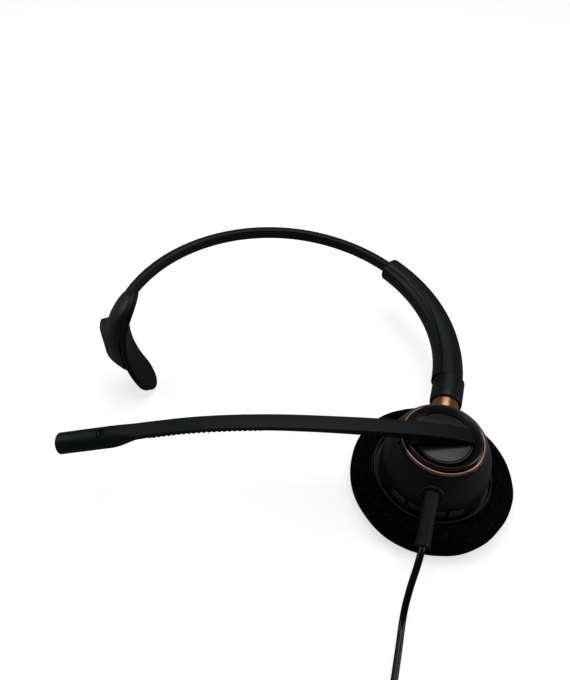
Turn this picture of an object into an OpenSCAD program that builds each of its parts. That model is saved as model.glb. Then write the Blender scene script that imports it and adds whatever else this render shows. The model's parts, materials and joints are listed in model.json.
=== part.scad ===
// Single-ear office headset lying flat on a table, ear cushion down.
// Origin: centre of the ear cushion's flat face, on the table. +Z is the cup axis,
// +Y runs along the swivel post from the cup to the headband. Millimetres.

/* [Ear cup] */
// Outer radius of the foam cushion
foam_r = 30.8; // [29:0.1:33]
// Depth of the foam cushion
foam_h = 11.6; // [11:0.1:12]
// Radius of the lip round the cup's foot
flange_r = 22.2; // [22:0.1:23]
// Radius of the cup wall at its foot
cup_r = 20; // [19.8:0.1:20.3]
// Wall thickness of the cup
cup_wall = 1.6; // [1.4:0.1:1.8]
// Height of the cup's deck, where the bezel sits
deck_z = 29.8; // [29.6:0.1:30]
// Middle radius of the copper ring
ring_r = 14.3; // [14.2:0.1:14.5]
// Radius of the turning cap inside the ring
cap_r = 13.6; // [13.2:0.1:13.7]

/* [Boom] */
// Direction of the boom at rest, from +X
boom_angle = 198; // [190:1:300]
// Width of the boom arm
boom_w = 5.8; // [5:0.1:6.4]
// Outer diameter of the microphone tube
mic_d = 7.8; // [7:0.1:8]
// Length of the microphone tube
mic_len = 19.8; // [19:0.1:22]
// Number of flexing ribs under the arm
grip_ribs = 22; // [12:1:22]

/* [Headband] */
// Height of the swivel post's axis
post_z = 22.6; // [22:0.1:23]
// Diameter of the copper post
post_d = 10.4; // [10:0.1:10.6]
// Slope of the headband away from the cup, degrees
band_tilt = 2.4; // [0:0.1:3]
// Radius of the arc that slides in the sleeve
slide_r = 75.4; // [74:0.1:77]
// Radius of the rest of the headband
crown_r = 69; // [68:0.1:70]
// Height of the headband strip
band_h = 5.4; // [5:0.1:5.6]
// Thickness of the headband strip
band_t = 3.2; // [2.8:0.1:3.4]
// Angle at which the sleeve ends
sleeve_end = 59; // [58:1:62]
// Angle at which the band meets the temple bar
band_end = 209; // [206:1:210]

/* [Temple bar] */
// Width of the temple bar
bar_w = 17; // [16:0.1:17.4]
// Half of the temple bar's height
bar_half = 27.75; // [27:0.05:27.8]
// Radius of the temple bar's inward curve
bar_curve = 53; // [52:1:58]

/* [Cord] */
// Diameter of the cord
cord_d = 2.4; // [2.3:0.1:2.6]
// Turns of cord in each layer of the coil
coil_turns = 3.4; // [3:0.1:3.4]

/* [Hidden] */
$fn = 64;
cut = 0.01;

// Cup
foam_round = 4.4;
plate_z = 7.2;
plate_t = 2;
plate_r = 26;
shoulder_z = 15.5;
wall_bow = 28;
boss_r = 16.2;
boss_angles = [90, 210, 330];
mesh_z = plate_z + plate_t;
basket_z = mesh_z + 0.2;
magnet_z = basket_z + 3;
board_z = magnet_z + 4;
gland_y = -18.4;
gland_z = 24;
gland_drop = 15.4;
gland_r = 4.1;
relief_seat = -2.2;
relief_len = 17.7;

// Turning joint of the boom
spindle_r = 4.5;
bush_r = 6;
fit = 0.05;
cap_z = 31.6;
cap_top = 34.2;
slot_z = 31.8;
stop_half = 4;
boom_swing = [-8, 217];

// Boom: corners of the arm's top line and underside, distance from the cup axis and height
arm_top = [[-10.4, 33.3], [0, 36.4], [15, 38.9], [38, 41.1], [62, 42.3], [84, 41.2], [102, 38.2], [117.05, 34.8]];
arm_under = [[16, 35.6], [38, 38.4], [62, 40], [84, 38.9], [102, 35.6], [116.2, 31]];
arm_steps = 4;
grip_from = 64;
grip_pitch = 1.75;
grip_to = grip_from + grip_ribs * grip_pitch;
mic_from = [116.6, 32.65];
mic_slope = 12.4;
port_y = -0.8;
port_z = 0.9;

// Headband
slide_c = [-0.8 - slide_r, 33];
crown_c = [slide_c[0], slide_c[1] + slide_r - crown_r];
post_y = [16, 31];
spigot_end = 41;
collar_from = 22.6;
sleeve_w = 10.6;
sleeve_h = 10.4;
sleeve_from = 0.8;
split_r = slide_r + 0.8;
channel_from = 10;
band_gap = 0.3;
band_from = 22.5;
stop_arc = 2.5;
inlay_from = 94;
inlay_to = 200;

// Temple bar, in its own frame: X along the band's end, Y towards the head, Z up the bar
bar_face = 4.6;
bar_mid = -1;
bar_turn = -4;
bar_frame_t = 1;
bar_pad_t = 1.3;
crown_bow = 9;
crown_height = 5.6;
crown_fade = 38;
house_c = [-7.2, 12.2];
house_r = 16.7;
house_t = [-10, 7.5];
house_v = [-5.6, 6.2];
knuckle_r = 2.4;
knuckle_t = -4;
pin_r = 0.9;
pin_v = [-5, 5.2];

// Cord: route from the strain relief to the coil, and the coil's place
cord_route = [
  [0, -32, 20.3],
  [0, -36.5, 19],
  [-0.3, -41, 16.2],
  [-0.7, -44.8, 12],
  [-0.8, -47.6, 7.6],
  [-0.8, -51, 3.8],
  [-0.6, -55.5, 1.7],
  [-0.4, -61, 1.4],
  [-0.2, -70, 1.5],
  [-0.2, -80, 1.7],
  [-0.2, -92.5, 1.85]
];
coil_c = [20.4, -92.5];
coil_r = 20.6;
coil_pitch = 2.85;
coil_z = 0.45;
coil_in = coil_r - coil_turns * coil_pitch;
tail_route = [
  [1, -99.5, 4.65],
  [3.2, -107, 4.6],
  [7.4, -113.6, 4.5],
  [13, -118.8, 4.35],
  [20.4, -122, 4.25]
];
route_steps = 3;
plug_x = 20.4;
plug_y = -122;
plug_z = 4.25;
plug_size = [34, 13, 8.5];

// Helpers

// Tube between two radii and two heights
module ring(inner, outer, from, to) {
  translate([0, 0, from])
    difference() {
      cylinder(r = outer, h = to - from);
      translate([0, 0, -1]) cylinder(r = inner, h = to - from + 2);
    }
}

// Children's +Z laid along +Y on the swivel post's axis
module on_post(y) {
  translate([0, y, post_z]) rotate([-90, 0, 0]) children();
}

// Rounded rectangle centred on the origin, of squares and circles
module pill(width, height, round) {
  square([width, height - 2 * round], center = true);
  square([width - 2 * round, height], center = true);
  for (x = [-1, 1], y = [-1, 1])
    translate([x * (width / 2 - round), y * (height / 2 - round)]) circle(r = round);
}

// Point a fraction u of the way from b to c on the smooth curve through a, b, c and d
function blend(a, b, c, d, u) =
  b + u * (c - a) / 2 + u * u * (a - 2.5 * b + 2 * c - d / 2) + u * u * u * (-a + 3 * b - 3 * c + d) / 2;

// Smooth curve through the points, with a number of steps to each span
function smooth(points, steps) = [
  for (i = [0 : len(points) - 2], k = [0 : steps - 1])
    blend(
      points[max(i - 1, 0)], points[i], points[i + 1], points[min(i + 2, len(points) - 1)], k / steps
    ),
  points[len(points) - 1]
];

function reversed(points) = [for (i = [len(points) - 1 : -1 : 0]) points[i]];

// Height at distance x of a line through smoothed points
function height_at(line, x) = lookup(x, line);

// Direction of a route at point i
function heading(route, i) =
  let (step = route[min(i + 1, len(route) - 1)] - route[max(i - 1, 0)])
  step / norm(step);

// Eight-sided tube swept along a route
module tube_along(route, radius) {
  sides = 8;
  count = len(route);
  rings = [
    for (i = [0 : count - 1])
      let (
        ahead = heading(route, i),
        level = cross([0, 0, 1], ahead),
        side = level / norm(level),
        up = cross(ahead, side)
      )
      for (k = [0 : sides - 1])
        route[i] + radius * (cos(360 * k / sides) * side + sin(360 * k / sides) * up)
  ];
  walls = [
    for (i = [0 : count - 2], k = [0 : sides - 1])
      let (next = (k + 1) % sides)
      [i * sides + k, (i + 1) * sides + k, (i + 1) * sides + next, i * sides + next]
  ];
  first = [for (k = [0 : sides - 1]) k];
  last = [for (k = [sides - 1 : -1 : 0]) (count - 1) * sides + k];
  polyhedron(points = rings, faces = concat([first], walls, [last]), convexity = 4);
}

// Ear cup

// Outer radius of the cup wall at height z: upright to the shoulder, then bowed inwards
function wall_r(z) =
  z <= shoulder_z ? cup_r : cup_r - wall_bow + sqrt(wall_bow * wall_bow - pow(z - shoulder_z, 2));

module foam_cushion() {
  color([0.04, 0.045, 0.045])
    rotate_extrude()
      difference() {
        union() {
          square([foam_r - foam_round, foam_h]);
          translate([0, foam_round]) square([foam_r, foam_h - 2 * foam_round]);
          for (z = [foam_round, foam_h - foam_round])
            translate([foam_r - foam_round, z]) circle(r = foam_round);
        }
        translate([-1, plate_z]) square([plate_r + 1, plate_t]);
        translate([-1, plate_z]) square([flange_r + 1, foam_h]);
        translate([-foam_r - 1, -1]) square([foam_r + 1, foam_h + 2]);
      }
}

module ear_plate() {
  lip = 0.8;
  color([0.08, 0.09, 0.09])
    difference() {
      union() {
        translate([0, 0, plate_z]) cylinder(r = plate_r, h = plate_t);
        ring(flange_r - lip, flange_r, plate_z + plate_t, foam_h + 0.4);
      }
      for (turn = [0 : 60 : 359]) rotate(turn) translate([4.6, 0, 0]) cylinder(r = 1.1, h = foam_h);
      for (turn = [15 : 30 : 359]) rotate(turn) translate([9.2, 0, 0]) cylinder(r = 1.1, h = foam_h);
      for (turn = boss_angles) rotate(turn) translate([boss_r, 0, 0]) cylinder(r = 0.95, h = foam_h);
    }
}

module speaker_mesh() {
  color([0.12, 0.12, 0.12]) translate([0, 0, mesh_z]) cylinder(r = 13, h = 0.2);
}

module speaker_basket() {
  color([0.55, 0.56, 0.58])
    difference() {
      ring(8.3, 13.3, basket_z, magnet_z);
      translate([0, 0, basket_z - 1]) cylinder(r = 12.3, h = 2.2);
    }
}

module speaker_diaphragm() {
  color([0.85, 0.82, 0.7])
    translate([0, 0, basket_z + 0.9]) cylinder(r = 12.3, h = 0.3);
}

module voice_coil() {
  color([0.72, 0.4, 0.2]) ring(4.2, 4.7, basket_z + 1.2, magnet_z + 1.6);
}

module speaker_magnet() {
  color([0.4, 0.4, 0.42])
    difference() {
      union() {
        translate([0, 0, magnet_z - 0.9]) cylinder(r = 8.25, h = 4.9);
        translate([0, 0, magnet_z]) cylinder(r = 10, h = 0.8);
      }
      ring(4, 4.9, magnet_z - 1, magnet_z + 1.8);
    }
}

module circuit_board() {
  color([0.1, 0.35, 0.2])
    translate([-6.5, -4.5, board_z]) {
      cube([13, 9, 1]);
      translate([2, 2, 1 - cut]) cube([3, 2, 0.9]);
      translate([8, 5, 1 - cut]) cube([2.4, 1.6, 0.7]);
    }
}

module plate_screws() {
  color([0.6, 0.6, 0.62])
    for (turn = boss_angles)
      rotate(turn)
        translate([boss_r, 0, plate_z + plate_t])
          difference() {
            union() {
              cylinder(r = 0.8, h = 6);
              translate([0, 0, -plate_t]) cylinder(r = 0.9, h = plate_t);
            }
            translate([0, 0, -plate_t - cut]) cylinder(r = 0.45, h = 0.8, $fn = 6);
          }
}

// Solid of revolution of the cup, its wall moved inwards by a distance
module cup_body(inset, from, to) {
  steps = 11;
  rotate_extrude()
    polygon(concat(
      [[0, from]],
      [
        for (i = [0 : steps])
          let (z = from + (to - from) * i / steps)
          [wall_r(z) - inset, z]
      ],
      [[0, to]]
    ));
}

// Arc-shaped slots in three rows and four groups, either side of the cord
module vents() {
  for (row = [0 : 2], middle = [-30.8, -11.3, 11.3, 30.8])
    rotate(-90 + middle - 8)
      rotate_extrude(angle = 16)
        translate([cup_r - cup_wall - 0.5, 12.9 + 1.35 * row]) square([cup_wall + 1, 0.6]);
}

// Frame of the cord's way out, sloping down from the wall
module gland_frame() {
  translate([0, gland_y, gland_z]) rotate([90 + gland_drop, 0, 0]) children();
}

// Frame square to the wall at the cord's way out
module gland_seat() {
  translate([0, -wall_r(gland_z), gland_z])
    rotate([90 - asin((gland_z - shoulder_z) / wall_bow), 0, 0])
      children();
}

module cup_shell() {
  inner_top = deck_z - cup_wall;
  color([0.12, 0.13, 0.13])
    difference() {
      union() {
        difference() {
          cup_body(0, mesh_z + 0.2, deck_z);
          cup_body(cup_wall, mesh_z, inner_top);
        }
        translate([0, 0, deck_z - 8]) cylinder(r = bush_r + 1.2, h = 8);
        for (turn = boss_angles)
          rotate(turn) translate([boss_r, 0, mesh_z + 0.6]) cylinder(r = 2.5, h = 7);
        on_post(post_y[0] - 1.2) cylinder(r = post_d / 2 + 0.9, h = 1.6);
        rotate(boom_angle + boom_swing[1] + stop_half)
          rotate_extrude(angle = 360 - (boom_swing[1] - boom_swing[0]) - 2 * stop_half)
            translate([11, deck_z - cut]) square([1.8, 1.3]);
      }
      translate([0, 0, deck_z - 9]) cylinder(r = bush_r, h = 12);
      for (turn = boss_angles)
        rotate(turn) translate([boss_r, 0, mesh_z]) cylinder(r = 0.8, h = 6);
      on_post(post_y[0]) cylinder(r = post_d / 2, h = 10);
      on_post(post_y[0] - 3) cylinder(r = 3.6, h = 5);
      gland_seat() translate([0, 0, -5]) cylinder(r = gland_r, h = 8);
      vents();
    }
}

module gloss_bezel() {
  color([0.03, 0.03, 0.03])
    rotate_extrude()
      polygon([
        [13.2, deck_z],
        [wall_r(deck_z), deck_z],
        [ring_r + 0.9, deck_z + 1.9],
        [ring_r + 0.4, deck_z + 2.1],
        [ring_r + 0.4, deck_z + 1.6],
        [13.2, deck_z + 1.6]
      ]);
}

module copper_ring() {
  color([0.75, 0.47, 0.32])
    rotate_extrude()
      translate([ring_r, deck_z + 2.1]) {
        circle(r = 0.4);
        translate([-0.4, -0.5]) square([0.8, 0.5]);
      }
}

module turret_bush() {
  color([0.8, 0.8, 0.76]) {
    ring(spindle_r + fit, bush_r, deck_z - 7.8, deck_z + 0.2);
    ring(spindle_r + fit, 7.4, deck_z, deck_z + 0.5);
  }
}

module turret_friction_ring() {
  color([0.1, 0.1, 0.1]) ring(8.2, 9.8, deck_z, deck_z + 1.1);
}

// Swivel between cup and headband

module swivel_post() {
  length = post_y[1] - post_y[0];
  color([0.72, 0.45, 0.3])
    on_post(post_y[0])
      difference() {
        union() {
          cylinder(r = post_d / 2, h = length);
          translate([0, 0, -3.6]) cylinder(r = 3.6, h = 3.7);
          cylinder(r = 3, h = spigot_end - post_y[0]);
        }
        translate([0, 0, -4]) cylinder(r = 1.5, h = 40);
        ring(2.5, 4, length + 7.6, length + 8.3);
      }
}

module post_nut() {
  color([0.6, 0.6, 0.62]) on_post(post_y[0] - 3.5) ring(3.6, 5.3, 0, 2.3);
}

module swivel_washer() {
  color([0.7, 0.7, 0.72]) on_post(post_y[1]) ring(3.1, 5, 0, 0.5);
}

module swivel_clip() {
  color([0.55, 0.55, 0.57])
    on_post(post_y[1] + 7.65)
      difference() {
        ring(2.55, 4.4, 0, 0.6);
        translate([0, -1.5, -1]) cube([6, 3, 3]);
      }
}

// Cord outlet

module cable_gland() {
  color([0.09, 0.1, 0.1])
    difference() {
      gland_seat() {
        translate([0, 0, -3]) cylinder(r = gland_r, h = 3.4);
        translate([0, 0, -4.2]) cylinder(r = gland_r + 0.9, h = 1.7);
      }
      gland_frame() {
        translate([0, 0, relief_seat]) cylinder(r = 2.6, h = 9);
        translate([0, 0, -9]) cylinder(r = cord_d / 2 + 0.02, h = 9);
      }
    }
}

module strain_relief() {
  color([0.11, 0.12, 0.12])
    gland_frame()
      difference() {
        union() {
          translate([0, 0, relief_seat]) cylinder(r = 2.6, h = 6);
          translate([0, 0, 3]) cylinder(r1 = 2.6, r2 = 2.45, h = relief_len - 5);
          translate([0, 0, relief_len - 2]) cylinder(r1 = 2.45, r2 = 2.75, h = 2);
        }
        translate([0, 0, -5]) cylinder(r = cord_d / 2 + 0.02, h = relief_len + 6);
      }
}

// Cord and plug

module cable_run() {
  color([0.03, 0.03, 0.03]) tube_along(smooth(cord_route, route_steps), cord_d / 2);
}

module cable_coil() {
  width = coil_r - coil_in + cord_d;
  color([0.03, 0.03, 0.03])
    translate([coil_c[0], coil_c[1], coil_z])
      rotate_extrude()
        translate([(coil_r + coil_in) / 2, cord_d]) pill(width, 2 * cord_d, 1.3);
}

module cable_tie() {
  width = coil_r - coil_in + cord_d + 1;
  height = 2 * cord_d + 0.9;
  color([0.1, 0.1, 0.1])
    translate([coil_c[0], coil_c[1], height / 2])
      rotate(-50)
        translate([(coil_r + coil_in) / 2, 0, 0])
          rotate([90, 0, 0])
            translate([0, 0, -3])
              linear_extrude(6)
                difference() {
                  pill(width, height, 1.6);
                  pill(width - 0.9, height - 0.9, 1.3);
                }
}

module cable_tail() {
  color([0.03, 0.03, 0.03]) tube_along(smooth(tail_route, route_steps), cord_d / 2);
}

module plug_relief() {
  color([0.09, 0.09, 0.09])
    translate([plug_x, plug_y, plug_z])
      rotate([0, 90, 0])
        difference() {
          cylinder(r1 = 2.1, r2 = 3.4, h = 9);
          translate([0, 0, -1]) cylinder(r = cord_d / 2 + 0.02, h = 11);
        }
}

// Block with rounded long edges, cut to one half by its middle plane
module plug_half(side) {
  color([0.1, 0.1, 0.1])
    translate([plug_x + 9, plug_y, plug_z])
      intersection() {
        rotate([90, 0, 90])
          difference() {
            linear_extrude(plug_size[0]) pill(plug_size[1], plug_size[2], 2.4);
            translate([0, 0, 1.5]) linear_extrude(plug_size[0] - 9) pill(9, 4.6, 1);
            translate([-4.1, -1.7, 20]) cube([8.2, 3.4, 20]);
            translate([0, 0, -1]) cylinder(r = cord_d / 2 + 0.02, h = 3);
          }
        translate([-1, -10, side > 0 ? 0 : -10]) cube([60, 20, 10]);
      }
}

module plug_shell_lower() {
  plug_half(-1);
}

module plug_shell_upper() {
  plug_half(1);
}

module plug_tongue() {
  color([0.14, 0.14, 0.14])
    translate([plug_x + 9 + 26, plug_y, plug_z])
      difference() {
        translate([0, -4, -1.6]) cube([18, 8, 3.2]);
        for (y = [-2.7, -0.9, 0.9, 2.7]) translate([9, y - 0.5, 1.2]) cube([8, 1, 1]);
      }
}

module plug_contacts() {
  color([0.85, 0.7, 0.35])
    for (y = [-2.7, -0.9, 0.9, 2.7])
      translate([plug_x + 44, plug_y + y - 0.5, plug_z + 1.2]) cube([8, 1, 0.4]);
}

// Boom. In its own frame +X runs from the cup axis to the microphone.

module boom_frame() {
  rotate(boom_angle) children();
}

// Side outline in the boom's X-Z plane, given a width and centred on the arm
module boom_slab(width) {
  rotate([90, 0, 0]) translate([0, 0, -width / 2]) linear_extrude(width) children();
}

module turret_cap() {
  color([0.09, 0.1, 0.1])
    boom_frame()
      difference() {
        union() {
          rotate_extrude()
            difference() {
              union() {
                translate([0, cap_z]) square([cap_r, cap_top - cap_z - 1]);
                translate([0, cap_z]) square([cap_r - 1, cap_top - cap_z]);
                translate([cap_r - 1, cap_top - 1]) circle(r = 1);
                translate([0, deck_z + 1.15]) square([10.2, 1]);
              }
              translate([-1, cap_top - 2.2]) square([11.3, 4]);
              translate([-20, 0]) square([20, 60]);
            }
          rotate(-stop_half)
            rotate_extrude(angle = 2 * stop_half)
              translate([11.1, deck_z + 0.3]) square([1.6, 2]);
        }
        translate([-10.5, -boom_w / 2, slot_z]) cube([30, boom_w, 5]);
        translate([0, 0, deck_z]) cylinder(r = 2, h = 6);
      }
}

module turret_spindle() {
  color([0.6, 0.6, 0.58])
    difference() {
      union() {
        translate([0, 0, deck_z - 9.6]) cylinder(r = spindle_r, h = 10.75);
      }
      translate([0, 0, deck_z - 11]) cylinder(r = 2, h = 14);
      ring(spindle_r - 0.7, spindle_r + 2, deck_z - 8.7, deck_z - 8);
    }
}

module turret_clip() {
  color([0.55, 0.55, 0.57])
    difference() {
      ring(spindle_r - 0.65, spindle_r + 1.6, deck_z - 8.6, deck_z - 8.1);
      translate([0, -2, 0]) cube([9, 4, deck_z]);
    }
}

top_line = smooth(arm_top, arm_steps);
under_line = smooth(arm_under, arm_steps);

module boom_arm() {
  tenon = 1;
  grip_points = [for (p = under_line) if (p[0] > grip_from && p[0] < grip_to) [p[0], p[1] + 1]];
  under_root = [for (p = under_line) if (p[0] <= grip_from) p];
  under_tip = [for (p = under_line) if (p[0] >= grip_to) p];
  color([0.1, 0.11, 0.11])
    boom_frame()
      boom_slab(boom_w)
        polygon(concat(
          top_line,
          reversed(under_tip),
          [
            [grip_to, height_at(under_line, grip_to)],
            [grip_to, height_at(under_line, grip_to) + 1]
          ],
          reversed(grip_points),
          [
            [grip_from, height_at(under_line, grip_from) + 1],
            [grip_from, height_at(under_line, grip_from)]
          ],
          reversed(under_root),
          [[12, slot_z + 1.4], [12, slot_z], [-10.4, slot_z]]
        ));
  color([0.1, 0.11, 0.11])
    boom_frame()
      mic_frame() translate([0, 0, -0.3]) cylinder(r = mic_d / 2 - 0.75, h = tenon);
}

// Flat spring between the arm and its ribbed underside
module boom_core() {
  points = [for (p = under_line) if (p[0] > grip_from + 1 && p[0] < grip_to - 1) p + [0, 0.95]];
  color([0.6, 0.6, 0.62])
    boom_frame()
      boom_slab(3)
        polygon(concat(points, reversed([for (p = points) p - [0, 0.45]])));
}

// Underside with cross ribs that let the arm flex
module boom_grip() {
  skin = [for (p = under_line) if (p[0] > grip_from && p[0] < grip_to) p];
  ends = [for (x = [grip_from, grip_to]) [x, height_at(under_line, x)]];
  line = concat([ends[0]], skin, [ends[1]]);
  color([0.08, 0.09, 0.09])
    boom_frame()
      difference() {
        boom_slab(boom_w - 0.6)
          polygon(concat([for (p = line) p + [0, 0.99]], reversed([for (p = line) p - [0, 0.5]])));
        for (i = [0 : grip_ribs - 1])
          let (x = grip_from + (i + 0.3) * grip_pitch)
          translate([x, -boom_w, height_at(under_line, x) - 1.2]) cube([0.9, 2 * boom_w, 1.2]);
        boom_slab(3.1)
          polygon(concat(
            [for (p = line) p + [0, 1.2]],
            reversed([for (p = line) p + [0, 0.45]])
          ));
      }
}

// Frame at the inner end of the microphone tube, +Z towards its tip
module mic_frame() {
  translate([mic_from[0], 0, mic_from[1]]) rotate([0, 90 + mic_slope, 0]) children();
}

module mic_tube() {
  color([0.1, 0.11, 0.11])
    boom_frame()
      mic_frame()
        difference() {
          cylinder(r = mic_d / 2, h = mic_len);
          translate([0, 0, 0.4]) cylinder(r = mic_d / 2 - 0.7, h = mic_len);
          translate([-5, port_y, port_z]) cube([5, 2.5, 1.9]);
          cylinder(r = mic_d / 2 - 0.75, h = 3, center = true);
        }
}

module mic_capsule() {
  color([0.65, 0.65, 0.66])
    boom_frame() mic_frame() translate([0, 0, 12]) cylinder(r = 2.2, h = 3);
}

module mic_boot() {
  color([0.12, 0.12, 0.12]) boom_frame() mic_frame() ring(2.2, mic_d / 2 - 0.7, 11, 15.6);
}

module mic_mesh() {
  color([0.2, 0.2, 0.2])
    boom_frame()
      mic_frame()
        intersection() {
          ring(mic_d / 2 - 0.7, mic_d / 2 - 0.4, port_z, port_z + 1.9);
          translate([-5, port_y, port_z]) cube([5, 2.5, 1.9]);
        }
}

module mic_end_cap() {
  color([0.1, 0.11, 0.11])
    boom_frame()
      mic_frame() {
        translate([0, 0, mic_len - 2]) cylinder(r = mic_d / 2 - 0.7, h = 2.01);
        translate([0, 0, mic_len]) cylinder(r1 = mic_d / 2, r2 = mic_d / 2 - 0.5, h = 0.6);
      }
}

// Headband. Its plane is tilted about the swivel post's own axis.

module band_plane() {
  translate([0, 0, post_z]) rotate([0, band_tilt, 0]) children();
}

// Section swept round one of the headband's arc centres
module band_arc(centre, from, to) {
  translate([centre[0], centre[1], 0]) rotate(from) rotate_extrude(angle = to - from) children();
}

module sleeve_collar() {
  color([0.1, 0.11, 0.11])
    on_post(collar_from)
      difference() {
        cylinder(r = 6.2, h = 11.4);
        translate([0, 0, -1]) cylinder(r = post_d / 2 + 0.15, h = 9.9);
        cylinder(r = 4, h = 15);
      }
}

module pivot_bush() {
  color([0.8, 0.8, 0.76]) on_post(post_y[1] + 0.6) ring(3 + fit, 4, 0, 6.8);
}

// Whole sleeve, to be split into its two shells
module sleeve_body() {
  difference() {
    band_arc(slide_c, sleeve_from, sleeve_end) translate([slide_r, 0]) pill(sleeve_w, sleeve_h, 3);
    band_arc(slide_c, channel_from, sleeve_end + 1)
      translate([slide_r, 0]) square([band_t + 2 * band_gap, band_h + 2 * band_gap], center = true);
    band_arc(slide_c, channel_from, 38)
      translate([slide_r, 0]) square([band_t + 2 * band_gap, band_h + 2.2], center = true);
    band_arc(slide_c, 42, 54)
      translate([slide_r - 2.4, 0]) square([1.6, 4.6], center = true);
    translate([0, 30, 0]) rotate([-90, 0, 0]) cylinder(r = 4, h = 9);
    translate([0, 38.4, 0]) rotate([-90, 0, 0]) cylinder(r = 4.7, h = 3.4);
  }
}

module sleeve_outer() {
  color([0.12, 0.13, 0.13])
    band_plane()
      intersection() {
        sleeve_body();
        band_arc(slide_c, -5, 80) translate([split_r, -20]) square([20, 40]);
      }
}

module sleeve_inner() {
  color([0.1, 0.11, 0.11])
    band_plane()
      intersection() {
        sleeve_body();
        band_arc(slide_c, -5, 80) translate([split_r - 20, -20]) square([20, 40]);
      }
}

module detent_spring() {
  color([0.65, 0.65, 0.67])
    band_plane()
      band_arc(slide_c, 42.5, 53.5) translate([slide_r - 2.9, 0]) square([0.4, 4], center = true);
}

module band_section() {
  pill(band_t, band_h, 0.9);
}

module band_strip() {
  color([0.1, 0.11, 0.11])
    band_plane()
      difference() {
        union() {
          band_arc(slide_c, band_from, 89.4) translate([slide_r, 0]) band_section();
          band_arc(crown_c, 90.6, band_end - 3.8) translate([crown_r, 0]) band_section();
          translate([slide_c[0] - 1.6, slide_c[1] + slide_r, 0])
            rotate([90, 0, 90])
              linear_extrude(3.2) pill(band_t + 0.1, band_h + 0.1, 0.9);
          bar_knuckle() translate([0, 0, -band_h / 2]) cylinder(r = knuckle_r, h = band_h);
        }
        inlay();
        for (click = [28 : 3 : 61])
          band_arc(slide_c, click, click + 0.7)
            translate([slide_r - band_t / 2, 0]) square([0.5, band_h + 1], center = true);
        bar_knuckle() cylinder(r = pin_r + fit, h = 10, center = true);
      }
}

// Flat spring let into the band's inner face
module inlay() {
  band_arc(crown_c, inlay_from, inlay_to)
    translate([crown_r - band_t / 2 + 0.3, 0])
      square([0.7, 3], center = true);
}

module band_spring() {
  color([0.6, 0.6, 0.62]) band_plane() inlay();
}

module band_stop() {
  color([0.12, 0.12, 0.12])
    band_plane()
      band_arc(slide_c, band_from - stop_arc, band_from)
        translate([slide_r, 0]) square([band_t, band_h + 1.6], center = true);
}

// Temple bar

// Frame at the band's end: +X on along the band, +Y towards the head, +Z across the band
module bar_place(turn) {
  translate([crown_c[0] + crown_r * cos(band_end), crown_c[1] + crown_r * sin(band_end), 0])
    rotate(band_end + 90 + turn)
      children();
}

module bar_frame() {
  band_plane() bar_place(bar_turn) children();
}

// Frame on the pin's axis, in the band's own plane
module bar_knuckle() {
  bar_place(0) translate([knuckle_t, 0, 0]) children();
}

// Cylinder across the bar on the axis of its inward curve
module bar_cylinder(radius) {
  translate([0, bar_face + bar_curve, 0])
    rotate([0, 90, 0])
      cylinder(r = radius, h = 80, center = true);
}

// Strip between two depths behind the bar's outer face, curved towards the head
module bar_strip(from, to) {
  straight = bar_half - bar_w / 2;
  difference() {
    intersection() {
      translate([bar_mid, 0, 0])
        rotate([-90, 0, 0])
          linear_extrude(30) {
            square([bar_w, 2 * straight], center = true);
            for (side = [-1, 1]) translate([0, side * straight]) circle(d = bar_w);
          }
      bar_cylinder(bar_curve - from);
    }
    bar_cylinder(bar_curve - to);
  }
}

module tbar_frame() {
  color([0.1, 0.11, 0.11])
    bar_frame()
      difference() {
        bar_strip(0, bar_frame_t);
        bar_screw_holes(0.95, 12);
      }
}

module tbar_pad() {
  color([0.13, 0.14, 0.13]) bar_frame() bar_strip(bar_frame_t, bar_frame_t + bar_pad_t);
}

// Two screws through the frame into the cover, above the housing
module bar_screw_holes(radius, depth) {
  for (side = [-1, 1])
    translate([bar_mid + side * 4.5, 1.4, 8]) rotate([-90, 0, 0]) cylinder(r = radius, h = depth);
}

module tbar_screws() {
  color([0.6, 0.6, 0.62])
    bar_frame()
      intersection() {
        bar_screw_holes(0.9, 12);
        bar_cylinder(bar_curve + 10);
        translate([0, 0, -10]) cube([40, 12, 40], center = true);
      }
}

// Half-round back of the bar, fading towards its upper end
module bar_crown() {
  intersection() {
    translate([bar_mid, bar_face + bar_curve, 0])
      rotate([0, 90, 0])
        rotate(270 - asin((bar_half - 0.6) / bar_curve))
          rotate_extrude(angle = 46)
            intersection() {
              translate([bar_curve + crown_height - crown_bow, 0]) circle(r = crown_bow);
              translate([bar_curve - 1, -15]) square([20, 30]);
            }
    translate([0, bar_face - crown_height - 0.1 + crown_fade, 0])
      rotate([0, 90, 0])
        cylinder(r = crown_fade, h = 80, center = true);
  }
}

// Block over the band's end, its back an arc that runs out at the bar's edge
module bar_house() {
  translate([0, 0, house_v[0]])
    linear_extrude(house_v[1] - house_v[0])
      intersection() {
        translate(house_c) circle(r = house_r);
        translate([house_t[0], -6]) square([house_t[1] - house_t[0], 8 + bar_face]);
      }
}

module tbar_cover() {
  color([0.11, 0.12, 0.12])
    difference() {
      bar_frame()
        difference() {
          union() {
            bar_crown();
            bar_house();
          }
          bar_cylinder(bar_curve);
          bar_screw_holes(0.9, 12);
        }
      band_plane()
        bar_knuckle() {
          translate([0, 0, -band_h / 2 - 0.3]) {
            cylinder(r = knuckle_r + 0.25, h = band_h + 0.6);
            linear_extrude(band_h + 0.6)
              polygon([[1, -2.4], [1, 2.4], [-6, 3.6], [-14, 4.6], [-14, -2.6]]);
          }
          translate([0, 0, pin_v[0]]) cylinder(r = pin_r, h = pin_v[1] - pin_v[0]);
        }
    }
}

module tbar_pin() {
  color([0.6, 0.6, 0.62])
    band_plane()
      bar_knuckle() translate([0, 0, pin_v[0]]) cylinder(r = pin_r, h = pin_v[1] - pin_v[0]);
}

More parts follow.
